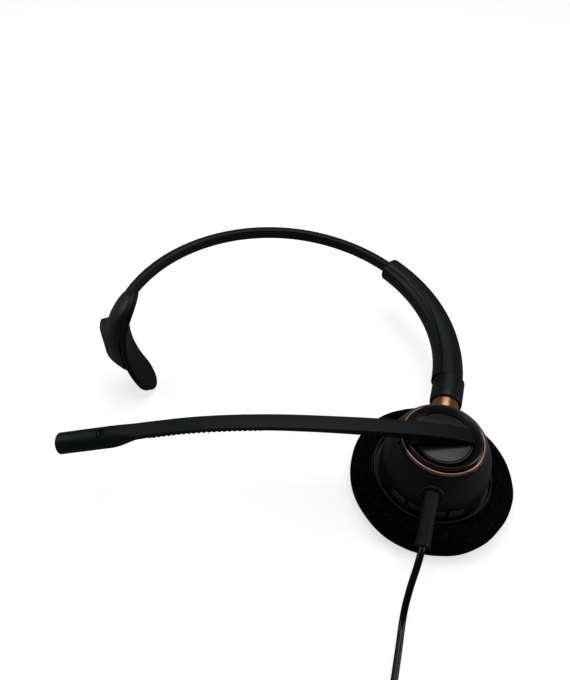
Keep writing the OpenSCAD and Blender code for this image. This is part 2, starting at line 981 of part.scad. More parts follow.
foam_cushion();
ear_plate();
speaker_mesh();
speaker_basket();
speaker_diaphragm();
voice_coil();
speaker_magnet();
circuit_board();
plate_screws();
cup_shell();
gloss_bezel();
copper_ring();
turret_bush();
turret_friction_ring();
swivel_post();
post_nut();
swivel_washer();
swivel_clip();
cable_gland();
strain_relief();
cable_run();
cable_coil();
cable_tie();
cable_tail();
plug_relief();
plug_shell_lower();
plug_shell_upper();
plug_tongue();
plug_contacts();
turret_cap();
turret_spindle();
turret_clip();
boom_arm();
boom_core();
boom_grip();
mic_tube();
mic_capsule();
mic_boot();
mic_mesh();
mic_end_cap();
sleeve_collar();
pivot_bush();
sleeve_outer();
sleeve_inner();
detent_spring();
band_strip();
band_spring();
band_stop();
tbar_cover();
tbar_frame();
tbar_pad();
tbar_pin();
tbar_screws();
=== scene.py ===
"""Visual model of a single-ear office headset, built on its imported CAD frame.

Every length inside this script is in millimetres in the row frame, and becomes metres when a mesh is made.
"""

import json
import logging
import math
from dataclasses import dataclass
from enum import Enum

import bmesh
import bpy
import numpy as np
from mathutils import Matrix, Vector


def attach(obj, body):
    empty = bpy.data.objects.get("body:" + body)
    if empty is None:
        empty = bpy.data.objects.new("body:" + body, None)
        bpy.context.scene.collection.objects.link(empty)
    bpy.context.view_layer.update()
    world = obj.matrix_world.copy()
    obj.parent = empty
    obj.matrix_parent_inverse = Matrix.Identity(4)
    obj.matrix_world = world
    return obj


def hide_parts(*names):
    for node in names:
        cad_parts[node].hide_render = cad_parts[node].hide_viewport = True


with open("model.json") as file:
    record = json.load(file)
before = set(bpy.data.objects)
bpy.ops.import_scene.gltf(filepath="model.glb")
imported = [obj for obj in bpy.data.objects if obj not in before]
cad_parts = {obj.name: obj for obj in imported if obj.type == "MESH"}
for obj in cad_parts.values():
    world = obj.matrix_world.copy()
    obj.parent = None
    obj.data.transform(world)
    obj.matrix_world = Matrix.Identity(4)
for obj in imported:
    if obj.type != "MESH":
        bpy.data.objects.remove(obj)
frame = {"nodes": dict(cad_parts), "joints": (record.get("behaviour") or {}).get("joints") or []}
log = logging.getLogger("headset")

MM = 0.001
TAU = 2 * math.pi
FOAM_CELL_MM = 0.34
# A wave of scale 1 has its rings TAU / 20 apart. At this share they stand about six grains apart: turned
# rings as fine as the real ones wouldn't show.
RING_SHARE = 0.32
COAT_ROUGHNESS = 0.06
JOINTS = {joint["name"]: joint for joint in frame["joints"]}


# ---------------------------------------------------------------- finishes


def linear(hex_colour: str) -> tuple[float, float, float, float]:
    """Turn an sRGB hex colour into linear values.

    Args:
        hex_colour: six hex digits, with or without a leading hash.

    Returns:
        Linear red, green and blue, and an alpha of one.
    """
    digits = hex_colour.lstrip("#")
    values = [int(digits[i : i + 2], 16) / 255 for i in (0, 2, 4)]
    curve = [v / 12.92 if v <= 0.04045 else ((v + 0.055) / 1.055) ** 2.4 for v in values]
    return (*curve, 1.0)


def add_node(
    tree: bpy.types.NodeTree,
    kind: str,
    settings: dict | None = None,
    links: dict | None = None,
    **attributes: object,
) -> bpy.types.Node:
    """Add one shader node with its socket values, links and own settings.

    Args:
        tree: the node tree that takes the node.
        kind: the node's type name.
        settings: values of its input sockets, by name or number.
        links: output sockets to join to its inputs, by name or number.
        attributes: the node's own properties.

    Returns:
        The new node.
    """
    made = tree.nodes.new(kind)
    for name, value in attributes.items():
        setattr(made, name, value)
    for name, value in (settings or {}).items():
        made.inputs[name].default_value = value
    for name, source in (links or {}).items():
        tree.links.new(source, made.inputs[name])
    return made


class Grain(Enum):
    """How a surface's fine texture runs."""

    NONE = "none"
    ERODED = "spark-eroded mould texture"
    FOAM = "open foam cells"
    SPUN = "rings round the cup's axis"
    DRAWN = "lines along the swivel post"


@dataclass(frozen=True)
class Finish:
    """One real material and how its surface was made."""

    name: str
    colour: str
    roughness: float
    slot: str
    metallic: float = 0.0
    ior: float = 1.5
    specular: float = 0.5
    grain: Grain = Grain.NONE
    grain_mm: float = 0.4
    depth_mm: float = 0.01
    # Pale colour painted on a few cell edges as painted glints; empty for none.
    painted_glint_colour: str = ""
    coat: float = 0.0

    def pattern(self, tree: bpy.types.NodeTree) -> bpy.types.NodeSocket:
        """Make the height pattern of this finish from object coordinates.

        Args:
            tree: the material's node tree.

        Returns:
            The socket that gives the height, from 0 to 1.
        """
        place = add_node(tree, "ShaderNodeTexCoord").outputs["Object"]
        per_metre = 1 / (self.grain_mm * MM)
        if self.grain is Grain.SPUN:
            return add_node(
                tree,
                "ShaderNodeTexWave",
                {"Scale": per_metre / TAU * RING_SHARE, "Distortion": 0.0},
                {"Vector": place},
                wave_type="RINGS",
                rings_direction="Z",
            ).outputs["Fac"]
        if self.grain is Grain.DRAWN:
            stretched = add_node(
                tree, "ShaderNodeMapping", {"Scale": (1.0, 0.04, 1.0)}, {"Vector": place}
            ).outputs["Vector"]
            return add_node(
                tree,
                "ShaderNodeTexNoise",
                {"Scale": per_metre, "Detail": 2.0},
                {"Vector": stretched},
            ).outputs["Fac"]
        return add_node(
            tree,
            "ShaderNodeTexNoise",
            {"Scale": per_metre, "Detail": 3.0, "Roughness": 0.6},
            {"Vector": place},
        ).outputs["Fac"]

    def painted_glints(self, tree: bpy.types.NodeTree) -> bpy.types.NodeSocket:
        """Paint pale cell edges into the base colour as painted glints: one cell in some dozens gets a
        painted highlight.

        Args:
            tree: the material's node tree.

        Returns:
            The socket that gives the colour.
        """
        place = add_node(tree, "ShaderNodeTexCoord").outputs["Object"]
        cells = add_node(
            tree,
            "ShaderNodeTexVoronoi",
            {"Scale": 1 / (FOAM_CELL_MM * MM), "Randomness": 1.0},
            {"Vector": place},
        )
        near = add_node(
            tree,
            "ShaderNodeMapRange",
            {"From Min": 0.24, "From Max": 0.36, "To Min": 1.0, "To Max": 0.0},
            {"Value": cells.outputs["Distance"]},
        ).outputs["Result"]
        level = add_node(tree, "ShaderNodeSeparateColor", None, {"Color": cells.outputs["Color"]})
        rare = add_node(
            tree,
            "ShaderNodeMapRange",
            {"From Min": 0.72, "From Max": 1.0},
            {"Value": level.outputs["Red"]},
        ).outputs["Result"]
        both = add_node(
            tree, "ShaderNodeMath", None, {0: near, 1: rare}, operation="MULTIPLY"
        ).outputs["Value"]
        return add_node(
            tree,
            "ShaderNodeMix",
            {"A": linear(self.colour), "B": linear(self.painted_glint_colour)},
            {"Factor": both},
            data_type="RGBA",
        ).outputs[2]

    def material(self) -> bpy.types.Material:
        """Return this finish as a Blender material, made the first time it is asked for."""
        made = bpy.data.materials.get(self.name)
        if made:
            return made
        made = bpy.data.materials.new(self.name)
        made.use_nodes = True
        tree = made.node_tree
        shader = tree.nodes["Principled BSDF"]
        shader.inputs["Base Color"].default_value = linear(self.colour)
        shader.inputs["Roughness"].default_value = self.roughness
        shader.inputs["Metallic"].default_value = self.metallic
        if not self.metallic:
            shader.inputs["IOR"].default_value = self.ior
            shader.inputs["Specular IOR Level"].default_value = self.specular
        if self.coat:
            shader.inputs["Coat Weight"].default_value = self.coat
            shader.inputs["Coat Roughness"].default_value = COAT_ROUGHNESS
        made.diffuse_color = linear(self.colour)
        # Painted glints: pale cell edges mixed into the base colour stand in for light catching the cells.
        if self.painted_glint_colour:
            tree.links.new(self.painted_glints(tree), shader.inputs["Base Color"])
        if self.grain is not Grain.NONE:
            bump = add_node(
                tree,
                "ShaderNodeBump",
                {"Strength": 1.0, "Distance": self.depth_mm * MM},
                {"Height": self.pattern(tree)},
            )
            tree.links.new(bump.outputs["Normal"], shader.inputs["Normal"])
        return made


# Black ABS from a spark-eroded mould: satin, with a broad soft highlight.
SATIN_ABS = Finish(
    "satin_moulded_abs",
    "#101415",
    0.42,
    "black_plastic",
    specular=0.35,
    grain=Grain.ERODED,
    grain_mm=0.35,
    depth_mm=0.006,
)
# Soft-touch lacquer over nylon on the boom: darker and a little blue, with hardly any gloss.
SOFT_TOUCH = Finish(
    "soft_touch_nylon",
    "#0c1416",
    0.5,
    "black_plastic",
    specular=0.25,
    grain=Grain.ERODED,
    grain_mm=0.3,
    depth_mm=0.004,
)
# The dish of the cap is turned: fine rings that fan the light out.
SPUN_ABS = Finish(
    "spun_dish_abs",
    "#030404",
    0.24,
    "black_plastic",
    specular=0.5,
    grain=Grain.SPUN,
    grain_mm=0.3,
    depth_mm=0.003,
)
# Lower edges of the vents: the same plastic, a little smoother, painted a lighter grey as a painted highlight
# for the thin line of light that each edge catches.
VENT_HIGHLIGHT_ABS = Finish("vent_edge_painted_highlight_abs", "#3c4446", 0.3, "black_plastic", specular=0.5)
# Polished black ABS bezel: mirror-like highlights on a true black.
GLOSS_ABS = Finish("polished_abs", "#030303", 0.05, "gloss_black", coat=0.3)
# Rose-copper plating on brass, drawn along the post.
COPPER = Finish(
    "rose_copper_plate",
    "#d99b74",
    0.3,
    "copper_trim",
    metallic=1.0,
    grain=Grain.DRAWN,
    grain_mm=0.5,
    depth_mm=0.006,
)
# Reticulated polyurethane foam: no gloss; a few cell walls are painted pale in the base colour as painted
# glints where light would catch them.
FOAM = Finish(
    "open_cell_foam",
    "#040506",
    0.95,
    "ear_foam",
    specular=0.05,
    grain=Grain.FOAM,
    grain_mm=0.5,
    depth_mm=0.2,
    # Painted glints: this pale grey is painted on a few foam cell edges.
    painted_glint_colour="#454a48",
)
# Silicone rubber: dull, slightly dusty.
RUBBER = Finish(
    "moulded_rubber",
    "#0f1112",
    0.6,
    "black_rubber",
    specular=0.25,
    grain=Grain.ERODED,
    grain_mm=0.4,
    depth_mm=0.005,
)
# Extruded PVC jacket: smooth, with a narrow bright line along it.
JACKET = Finish("extruded_pvc", "#050505", 0.24, "cord_jacket", specular=0.4)
# Rolled spring steel.
STEEL = Finish("rolled_spring_steel", "#b9babd", 0.3, "spring_steel", metallic=1.0)
# Natural acetal, as moulded.
ACETAL = Finish("natural_acetal", "#d6d6cc", 0.4, "white_acetal")
# Woven acoustic cloth.
CLOTH = Finish(
    "acoustic_cloth",
    "#141414",
    0.85,
    "speaker_cloth",
    specular=0.2,
    grain=Grain.FOAM,
    grain_mm=0.3,
    depth_mm=0.05,
)
# Thin polyester film, enamelled wire, solder mask and gold flash inside the cup and plug.
FILM = Finish("polyester_film", "#d9d2b4", 0.3, "speaker_film")
WIRE = Finish("enamelled_wire", "#b8733f", 0.35, "coil_copper", metallic=1.0)
MASK = Finish("solder_mask", "#1c6040", 0.35, "board_green")
GOLD = Finish("gold_flash", "#d8b466", 0.25, "gold_contact", metallic=1.0)


# ---------------------------------------------------------------- geometry


def ring_angles(count: int) -> np.ndarray:
    """Return a number of evenly spaced angles round a circle, in radians."""
    return np.arange(count) * TAU / count


def filleted(corners: list[tuple[float, float, float]], steps: int = 6) -> np.ndarray:
    """Round the corners of an open or closed outline.

    Each corner's arc touches both of its sides at the tangent length r / tan(half the corner's angle).

    Args:
        corners: x, y and rounding radius of each corner; a radius of 0 keeps it sharp.
        steps: points on each arc, less one.

    Returns:
        The outline's points, one row each. On an open outline the first and last corners should have
        no radius.
    """
    points = []
    count = len(corners)
    for i, (x, y, radius) in enumerate(corners):
        here = np.array([x, y], float)
        if radius <= 0:
            points.append(here)
            continue
        back = np.array(corners[i - 1][:2]) - here
        ahead = np.array(corners[(i + 1) % count][:2]) - here
        back /= np.linalg.norm(back)
        ahead /= np.linalg.norm(ahead)
        half = math.acos(np.clip(back @ ahead, -1, 1)) / 2
        reach = radius / math.tan(half)
        middle = (back + ahead) / np.linalg.norm(back + ahead)
        centre = here + middle * radius / math.sin(half)
        first, last = here + back * reach - centre, here + ahead * reach - centre
        start = math.atan2(first[1], first[0])
        turn = (math.atan2(last[1], last[0]) - start + math.pi) % TAU - math.pi
        for k in range(steps + 1):
            angle = start + turn * k / steps
            points.append(centre + radius * np.array([math.cos(angle), math.sin(angle)]))
    return np.array(points)


def quads(rows: int, columns: int, wrap: bool = True) -> np.ndarray:
    """Return the corner numbers of the faces of a grid, its columns joined round if wrap is set."""
    across = columns if wrap else columns - 1
    row, column = np.meshgrid(np.arange(rows - 1), np.arange(across), indexing="ij")
    row, column = row.ravel(), column.ravel()
    after = (column + 1) % columns
    here, above = row * columns, (row + 1) * columns
    return np.stack([here + column, here + after, above + after, above + column], axis=1)


def make_mesh(name: str, points: np.ndarray, faces: list, sharp: float = 35.0) -> bpy.types.Object:
    """Make an object from points in millimetres and faces.

    Args:
        name: the object's name.
        points: one row of x, y, z for each vertex.
        faces: corner numbers of each face.
        sharp: edges that fold by more than this many degrees stay crisp.

    Returns:
        The new object, its doubles merged and its faces pointing outwards.
    """
    data = bpy.data.meshes.new(name)
    data.from_pydata((points * MM).tolist(), [], faces)
    work = bmesh.new()
    work.from_mesh(data)
    bmesh.ops.remove_doubles(work, verts=work.verts, dist=1e-6)
    bmesh.ops.dissolve_degenerate(work, edges=work.edges, dist=1e-7)
    bmesh.ops.recalc_face_normals(work, faces=work.faces)
    work.to_mesh(data)
    work.free()
    data.polygons.foreach_set("use_smooth", [True] * len(data.polygons))
    data.set_sharp_from_angle(angle=math.radians(sharp))
    made = bpy.data.objects.new(name, data)
    bpy.context.scene.collection.objects.link(made)
    return made


def revolved(name: str, profile: np.ndarray, count: int = 192, sharp: float = 35.0) -> bpy.types.Object:
    """Turn a profile round the Z axis: each point (r, z) becomes (r cos a, r sin a, z).

    Args:
        name: the object's name.
        profile: radius and height of each point; it closes on itself unless both ends lie on the axis.
        count: number of steps round the circle.
        sharp: crease angle in degrees.

    Returns:
        The new object.
    """
    if np.any(np.abs(profile[[0, -1], 0]) > 1e-6):
        profile = np.vstack([profile, profile[:1]])
    angle = ring_angles(count)
    radius, height = profile[:, :1], profile[:, 1:]
    level = np.broadcast_to(height, (len(profile), count))
    points = np.stack([radius * np.cos(angle), radius * np.sin(angle), level], axis=2)
    return make_mesh(name, points.reshape(-1, 3), quads(len(profile), count).tolist(), sharp)


def lofted(
    name: str,
    centre: np.ndarray,
    side: np.ndarray,
    up: np.ndarray,
    section: np.ndarray,
    sharp: float = 35.0,
) -> bpy.types.Object:
    """Carry a closed outline along a path: point (u, v) of a station becomes centre + u side + v up.

    Args:
        name: the object's name.
        centre: one row for each station.
        side: direction of u at each station.
        up: direction of v at each station.
        section: outline points, for all stations alike or for each station.
        sharp: crease angle in degrees.

    Returns:
        The new object, closed at both ends by a flat face.
    """
    if section.ndim == 2:
        section = np.broadcast_to(section, (len(centre), *section.shape))
    points = centre[:, None] + section[:, :, :1] * side[:, None] + section[:, :, 1:] * up[:, None]
    stations, corners = section.shape[:2]
    faces = quads(stations, corners).tolist()
    faces.append(list(range(corners)))
    faces.append(list(range(stations * corners - 1, (stations - 1) * corners - 1, -1)))
    return make_mesh(name, points.reshape(-1, 3), faces, sharp)


def box_section(
    width: np.ndarray,
    low: np.ndarray,
    high: np.ndarray,
    rounding: np.ndarray,
    steps: int = 5,
) -> np.ndarray:
    """Work out a rounded rectangle for each station.

    Each corner is a quarter circle of its own radius about (width / 2 - r, high - r) and the like.

    Args:
        width: full width at each station.
        low: height of the lower side at each station.
        high: height of the upper side at each station.
        rounding: two radii for each station, of the upper and the lower corners.
        steps: points on each quarter circle, less one.

    Returns:
        An array of stations, outline points and (u, v).
    """
    quarter = np.linspace(0, math.pi / 2, steps + 1)
    parts = []
    for turn, (east, north) in enumerate(((1, 1), (-1, 1), (-1, -1), (1, -1))):
        radius = rounding[:, :1] if north > 0 else rounding[:, 1:]
        angle = quarter + turn * math.pi / 2
        across = east * (width[:, None] / 2 - radius) + radius * np.cos(angle)
        edge = high[:, None] - radius if north > 0 else low[:, None] + radius
        parts.append(np.stack([across, edge + radius * np.sin(angle)], axis=2))
    return np.concatenate(parts, axis=1)


def smooth_line(points: np.ndarray, steps: int) -> np.ndarray:
    """Run a curve through points.

    Each span is the cubic whose slope at a point is half the step between that point's neighbours.

    Args:
        points: the points that the curve passes through, one row each.
        steps: number of pieces to each span.

    Returns:
        Points along the curve, one row each.
    """
    before = np.vstack([points[:1], points[:-2]])
    after = np.vstack([points[2:], points[-1:]])
    start, end = points[:-1], points[1:]
    u = (np.arange(steps) / steps)[None, :, None]
    a, b, c, d = before[:, None], start[:, None], end[:, None], after[:, None]
    curve = b + u * (c - a) / 2 + u**2 * (a - 2.5 * b + 2 * c - d / 2) + u**3 * (3 * b - a - 3 * c + d) / 2
    return np.vstack([curve.reshape(-1, points.shape[1]), points[-1:]])


def set_place(made: bpy.types.Object, place: "Place") -> None:
    """Carry an object's mesh from a place's own axes into the row frame."""
    coords = np.zeros(len(made.data.vertices) * 3)
    made.data.vertices.foreach_get("co", coords)
    moved = place.to_row(coords.reshape(-1, 3) / MM) * MM
    made.data.vertices.foreach_set("co", moved.ravel())
    made.data.update()


@dataclass(frozen=True)
class Place:
    """A set of axes in the row frame: origin and the directions of its x, y and z."""

    origin: np.ndarray
    axes: np.ndarray

    def to_row(self, points: np.ndarray) -> np.ndarray:
        """Return points of this place in the row frame."""
        return points @ self.axes + self.origin

    def turned(self, degrees: float) -> "Place":
        """Return the place turned about its z."""
        cos, sin = math.cos(math.radians(degrees)), math.sin(math.radians(degrees))
        spin = np.array([[cos, sin, 0], [-sin, cos, 0], [0, 0, 1]])
        return Place(self.origin, spin @ self.axes)


def dress(
    piece: bpy.types.Object,
    finish: Finish,
    body: str,
    *nodes: str,
) -> bpy.types.Object:
    """Give a piece its finish, its body and the CAD nodes it stands for.

    Args:
        piece: the new object.
        finish: its material.
        body: the CAD body it moves with.
        nodes: CAD nodes that it replaces.

    Returns:
        The same object.
    """
    piece.data.materials.clear()
    piece.data.materials.append(finish.material())
    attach(piece, body)
    if nodes:
        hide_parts(*nodes)
    log.info("%s: %s, rides on %s", piece.name, finish.name, body)
    return piece


def refinish(finish: Finish, *nodes: str) -> None:
    """Give CAD nodes a better material in all their slots."""
    for name in nodes:
        node = frame["nodes"][name]
        node.data.materials.clear()
        node.data.materials.append(finish.material())
        log.info("%s: %s", name, finish.name)


def bevelled(piece: bpy.types.Object, width: float, segments: int = 2, angle: float = 40) -> bpy.types.Object:
    """Round a piece's crisp edges by a width in millimetres and apply it."""
    modifier = piece.modifiers.new("edge", "BEVEL")
    modifier.width = width * MM
    modifier.segments = segments
    modifier.limit_method = "ANGLE"
    modifier.angle_limit = math.radians(angle)
    modifier.harden_normals = False
    return applied(piece)


def applied(piece: bpy.types.Object) -> bpy.types.Object:
    """Apply all modifiers of a piece to its mesh."""
    graph = bpy.context.evaluated_depsgraph_get()
    result = bpy.data.meshes.new_from_object(piece.evaluated_get(graph))
    old = piece.data
    piece.modifiers.clear()
    piece.data = result
    bpy.data.meshes.remove(old)
    return piece


def cut_away(piece: bpy.types.Object, tool: bpy.types.Object) -> bpy.types.Object:
    """Cut a tool out of a piece by an exact boolean, apply it and drop the tool."""
    modifier = piece.modifiers.new("cut", "BOOLEAN")
    modifier.operation = "DIFFERENCE"
    modifier.solver = "EXACT"
    modifier.object = tool
    applied(piece)
    bpy.data.objects.remove(tool)
    work = bmesh.new()
    work.from_mesh(piece.data)
    bmesh.ops.remove_doubles(work, verts=work.verts, dist=2e-6)
    bmesh.ops.dissolve_degenerate(work, edges=work.edges, dist=1e-6)
    work.to_mesh(piece.data)
    work.free()
    piece.data.polygons.foreach_set("use_smooth", [True] * len(piece.data.polygons))
    piece.data.set_sharp_from_angle(angle=math.radians(30))
    return piece


# ---------------------------------------------------------------- places


def joint_point(name: str) -> np.ndarray:
    """Return a joint's point in millimetres in the row frame."""
    return np.array(JOINTS[name]["pos_m"]) / MM


def facing_front(origin: np.ndarray, rise: float) -> Place:
    """Return axes whose z runs out of the cup's front, rising by an angle.

    Args:
        origin: the origin, in millimetres.
        rise: degrees by which z rises above level.

    Returns:
        The place, its x along +X.
    """
    sin, cos = math.sin(math.radians(rise)), math.cos(math.radians(rise))
    return Place(origin, np.array([[1, 0, 0], [0, sin, cos], [0, -cos, sin]]))


BAND_UP = np.array(JOINTS["band_slide"]["axis"], float)
BAND_UP /= np.linalg.norm(BAND_UP)
BAND_OUT = np.array([BAND_UP[2], 0, -BAND_UP[0]])
SLIDE_CENTRE = joint_point("band_slide")
POST_Z = joint_point("cup_swivel")[2]
ROW = Place(np.zeros(3), np.eye(3))
POST = Place(np.array([0, 0, POST_Z]), np.array([[1, 0, 0], [0, 0, -1], [0, 1, 0]], float))
BOOM = ROW.turned(198)
RELIEF = facing_front(np.array([0, -18.4, 24.0]), -15.4)
GLAND = facing_front(np.array([0, -18.68, 24.0]), 17.7)


@dataclass
class BandPath:
    """The headband's line: an arc that slides in the sleeve, then a tighter one over the head."""

    slide_r: float = 75.4
    crown_r: float = 69.0
    end: float = 209.0

    def stations(self, angles: np.ndarray) -> tuple[np.ndarray, np.ndarray, np.ndarray]:
        """Work out points along the band.

        A point is the arc's centre plus its radius in the direction of the angle, in the band's tilted plane.

        Args:
            angles: angles round the band in degrees, 0 at the sleeve's root.

        Returns:
            The points, the outward direction and the direction across the band, one row each.
        """
        turn = np.radians(angles)[:, None]
        outward = np.cos(turn) * BAND_OUT + np.sin(turn) * np.array([0.0, 1.0, 0.0])
        crown_centre = SLIDE_CENTRE + np.array([0.0, self.slide_r - self.crown_r, 0.0])
        on_crown = angles[:, None] > 90
        centre = np.where(on_crown, crown_centre, SLIDE_CENTRE)
        radius = np.where(on_crown, self.crown_r, self.slide_r)
        return centre + radius * outward, outward, np.broadcast_to(BAND_UP, outward.shape)

    def end_place(self, turn: float) -> Place:
        """Return the temple bar's axes: x on along the band, y towards the head, z across it."""
        angle = math.radians(self.end + 90 + turn)
        ahead = math.cos(angle) * BAND_OUT + math.sin(angle) * np.array([0.0, 1.0, 0.0])
        last = self.stations(np.array([self.end]))[0][0]
        return Place(last, np.array([ahead, np.cross(BAND_UP, ahead), BAND_UP]))


# ---------------------------------------------------------------- sub-assemblies


@dataclass
class EarCup:
    """Foam cushion, cup, bezel, copper ring and the swivel post."""

    foam_r: float = 30.8
    foam_h: float = 11.6
    flange_r: float = 22.2
    wall_r: float = 20.0
    shoulder_z: float = 15.5
    bow_r: float = 28.0
    deck_z: float = 29.8
    ring_r: float = 14.3
    slot_middles: tuple[float, ...] = (-30.8, -11.3, 11.3, 30.8)
    slot_half: float = 8.0
    slot_rows: tuple[float, ...] = (12.9, 14.25, 15.6)
    slot_h: float = 0.8
    slot_depth: float = 1.1
    slot_lip: float = 0.4
    foot_z: float = 9.6
    drift: float = 0.14
    wire_r: float = 0.36
    post_r: float = 5.2
    spigot_r: float = 3.0

    def cushion(self) -> None:
        """Build the foam cushion: a turned closed pad whose radius drifts a little, as cut foam does."""
        profile = filleted(
            [
                (0, 0, 0),
                (self.foam_r - 0.15, 0, 4.6),
                (self.foam_r, self.foam_h * 0.72, 3.4),
                (27.4, self.foam_h, 3.2),
                (22.9, self.foam_h, 0.5),
                (22.6, 9.3, 0.3),
                (25.8, 9.2, 0),
                (25.8, 7.3, 0),
                (0, 7.3, 0),
            ],
            10,
        )
        spread = [np.linspace(profile[i], profile[i + 1], 10)[:-1] for i in range(len(profile) - 1)]
        steps = np.vstack([*spread, profile[-1:]])
        span = np.r_[0, np.cumsum(np.hypot(*np.diff(steps, axis=0).T))]
        even = np.linspace(0, span[-1], 150)
        profile = np.stack([np.interp(even, span, steps[:, 0]), np.interp(even, span, steps[:, 1])], axis=1)
        piece = revolved("foam_cushion_pad", profile, 288, 80)
        coords = np.zeros(len(piece.data.vertices) * 3)
        piece.data.vertices.foreach_get("co", coords)
        xyz = coords.reshape(-1, 3) / MM
        radius, angle, height = np.hypot(xyz[:, 0], xyz[:, 1]), np.arctan2(xyz[:, 1], xyz[:, 0]), xyz[:, 2]
        outside = np.clip((radius - 24) / 5, 0, 1)
        slow, middling = self.drift * np.sin(3 * angle + 0.6), 0.08 * np.sin(7 * angle + 2)
        drift = slow + middling + 0.05 * np.sin(13 * angle + height)
        xyz[:, :2] *= (1 + outside * (drift - self.drift) / np.maximum(radius, 1))[:, None]
        piece.data.vertices.foreach_set("co", (xyz * MM).ravel())
        piece.data.update()
        dress(piece, FOAM, "cup", "foam_cushion")

    def plate(self) -> None:
        """Build the plate that holds the foam, with a rounded lip round the cup's foot."""
        lip = self.flange_r
        profile = filleted(
            [
                (0, 7.4, 0),
                (25.6, 7.4, 0.3),
                (25.6, 9.1, 0.3),
                (lip - 0.1, 9.1, 0.3),
                (lip - 0.1, 11.9, 0.28),
                (lip - 0.75, 11.9, 0.28),
                (lip - 0.75, 9.3, 0.2),
                (0, 9.3, 0),
            ],
            4,
        )
        dress(revolved("foam_plate_lip", profile, 256), SATIN_ABS, "cup", "ear_plate")

    def wall(self, height: np.ndarray) -> np.ndarray:
        """Return the cup's radius at a height: upright to the shoulder, then bowed inwards on a circle."""
        above = np.maximum(height - self.shoulder_z, 0)
        return self.wall_r - self.bow_r + np.sqrt(self.bow_r**2 - above**2)

    def shell(self) -> None:
        """Build the cup: r = wall(z), pushed in at the slots of the vents and raised to a lip below each."""
        edge = 0.06
        rows = [np.linspace(self.foot_z, self.deck_z - 0.5, 60)]
        for low in self.slot_rows:
            rows.append(low + np.array([-0.3, -0.12, -edge, edge, self.slot_h - edge, self.slot_h + edge]))
        height = np.unique(np.concatenate(rows))
        turns = [np.linspace(0, 360, 241)[:-1]]
        for middle in self.slot_middles:
            for end in (-90 + middle - self.slot_half, -90 + middle + self.slot_half):
                turns.append(np.array([end - 0.2, end + 0.2]) % 360)
        turn = np.unique(np.round(np.concatenate(turns), 4))
        signed = (turn + 180) % 360 - 180
        in_turn = np.zeros(len(turn))
        for middle in self.slot_middles:
            in_turn += np.abs(signed + 90 - middle) < self.slot_half
        in_row = np.zeros(len(height))
        for low in self.slot_rows:
            in_row += (height > low) & (height < low + self.slot_h)
        lip = np.zeros(len(height))
        for low in self.slot_rows:
            lip += np.clip(1 - np.abs(height - low + 0.12) / 0.16, 0, 1)
        depth = (self.slot_depth * in_row - self.slot_lip * lip)[:, None] * in_turn[None]
        radius = self.wall(height)[:, None] - depth
        angle = np.radians(turn)[None]
        level = np.repeat(height[:, None], len(turn), 1)
        outside = np.stack([radius * np.cos(angle), radius * np.sin(angle), level], 2)
        deck, rim_z = self.deck_z, self.deck_z - 0.5
        top_r = float(self.wall(np.array([rim_z]))[0])
        closing = filleted([(top_r, rim_z, 0), (top_r - 0.25, deck, 0.4), (0, deck, 0)], 5)
        around = np.stack([np.cos(angle[0]), np.sin(angle[0]), 0 * angle[0]], axis=1)
        foot = (0 * around + [0, 0, self.foot_z])[None]
        above = [(r * around + [0, 0, z])[None] for r, z in closing[1:]]
        grid = np.concatenate([foot, outside, *above])
        piece = make_mesh("cup_wall", grid.reshape(-1, 3), quads(len(grid), len(turn)).tolist(), 30)
        dress(piece, SATIN_ABS, "cup", "cup_shell")

    def vent_edges(self) -> None:
        """Build a thin bar along the lower edge of each vent, following the wall's circle, in a lighter
        colour as a painted highlight.
        """
        half, steps = 0.16, 13
        corners = np.array([(-half, -half), (half, -half), (half, half), (-half, half)])
        count = 0
        for low in self.slot_rows:
            radius = float(self.wall(np.array([low]))[0]) + 0.02
            for middle in self.slot_middles:
                ends = (middle - self.slot_half, middle + self.slot_half)
                turn = np.radians(np.linspace(*ends, steps) - 90)
                out = np.stack([np.cos(turn), np.sin(turn), 0 * turn], axis=1)
                up = np.tile([0, 0, 1.0], (steps, 1))
                edge = lofted(f"vent_edge_{count}", radius * out + [0, 0, low], out, up, corners)
                # Painted highlight: the bar's lighter grey stands in for the light on the vent's edge.
                dress(edge, VENT_HIGHLIGHT_ABS, "cup")
                count += 1

    def bezel(self) -> None:
        """Build the polished bezel between the wall and the copper ring."""
        outer = float(self.wall(np.array([self.deck_z]))[0]) + 0.05
        z = self.deck_z
        profile = filleted(
            [
                (13.3, z - 0.3, 0),
                (outer, z - 0.3, 0.15),
                (outer, z + 0.25, 0.5),
                (self.ring_r + 0.75, z + 1.85, 0.25),
                (self.ring_r + 0.45, z + 1.8, 0.1),
                (self.ring_r + 0.4, z + 1.5, 0),
                (13.3, z + 1.5, 0),
            ],
            6,
        )
        dress(revolved("bezel_band", profile, 256), GLOSS_ABS, "cup", "gloss_bezel")

    def trim(self) -> None:
        """Build the copper ring: a wire of nearly round section."""
        turn = ring_angles(20)
        wire, middle = self.wire_r, self.deck_z + 1.85
        profile = np.stack([self.ring_r + wire * np.cos(turn), middle + wire * np.sin(turn)], axis=1)
        dress(revolved("ring_wire", profile, 256, 80), COPPER, "cup", "copper_ring")

    def post(self) -> None:
        """Build the copper post along +Y with the headband's spigot beyond it."""
        radius, spigot = self.post_r, self.spigot_r
        profile = filleted(
            [
                (0, 12.4, 0),
                (3.6, 12.4, 0.2),
                (3.6, 16.1, 0),
                (radius, 16.1, 0.2),
                (radius, 30.95, 0.25),
                (spigot, 30.95, 0),
                (spigot, 41.0, 0.3),
                (0, 41.0, 0),
            ],
            4,
        )
        piece = revolved("post_tube", profile, 128)
        set_place(piece, POST)
        dress(piece, COPPER, "cup", "swivel_post")

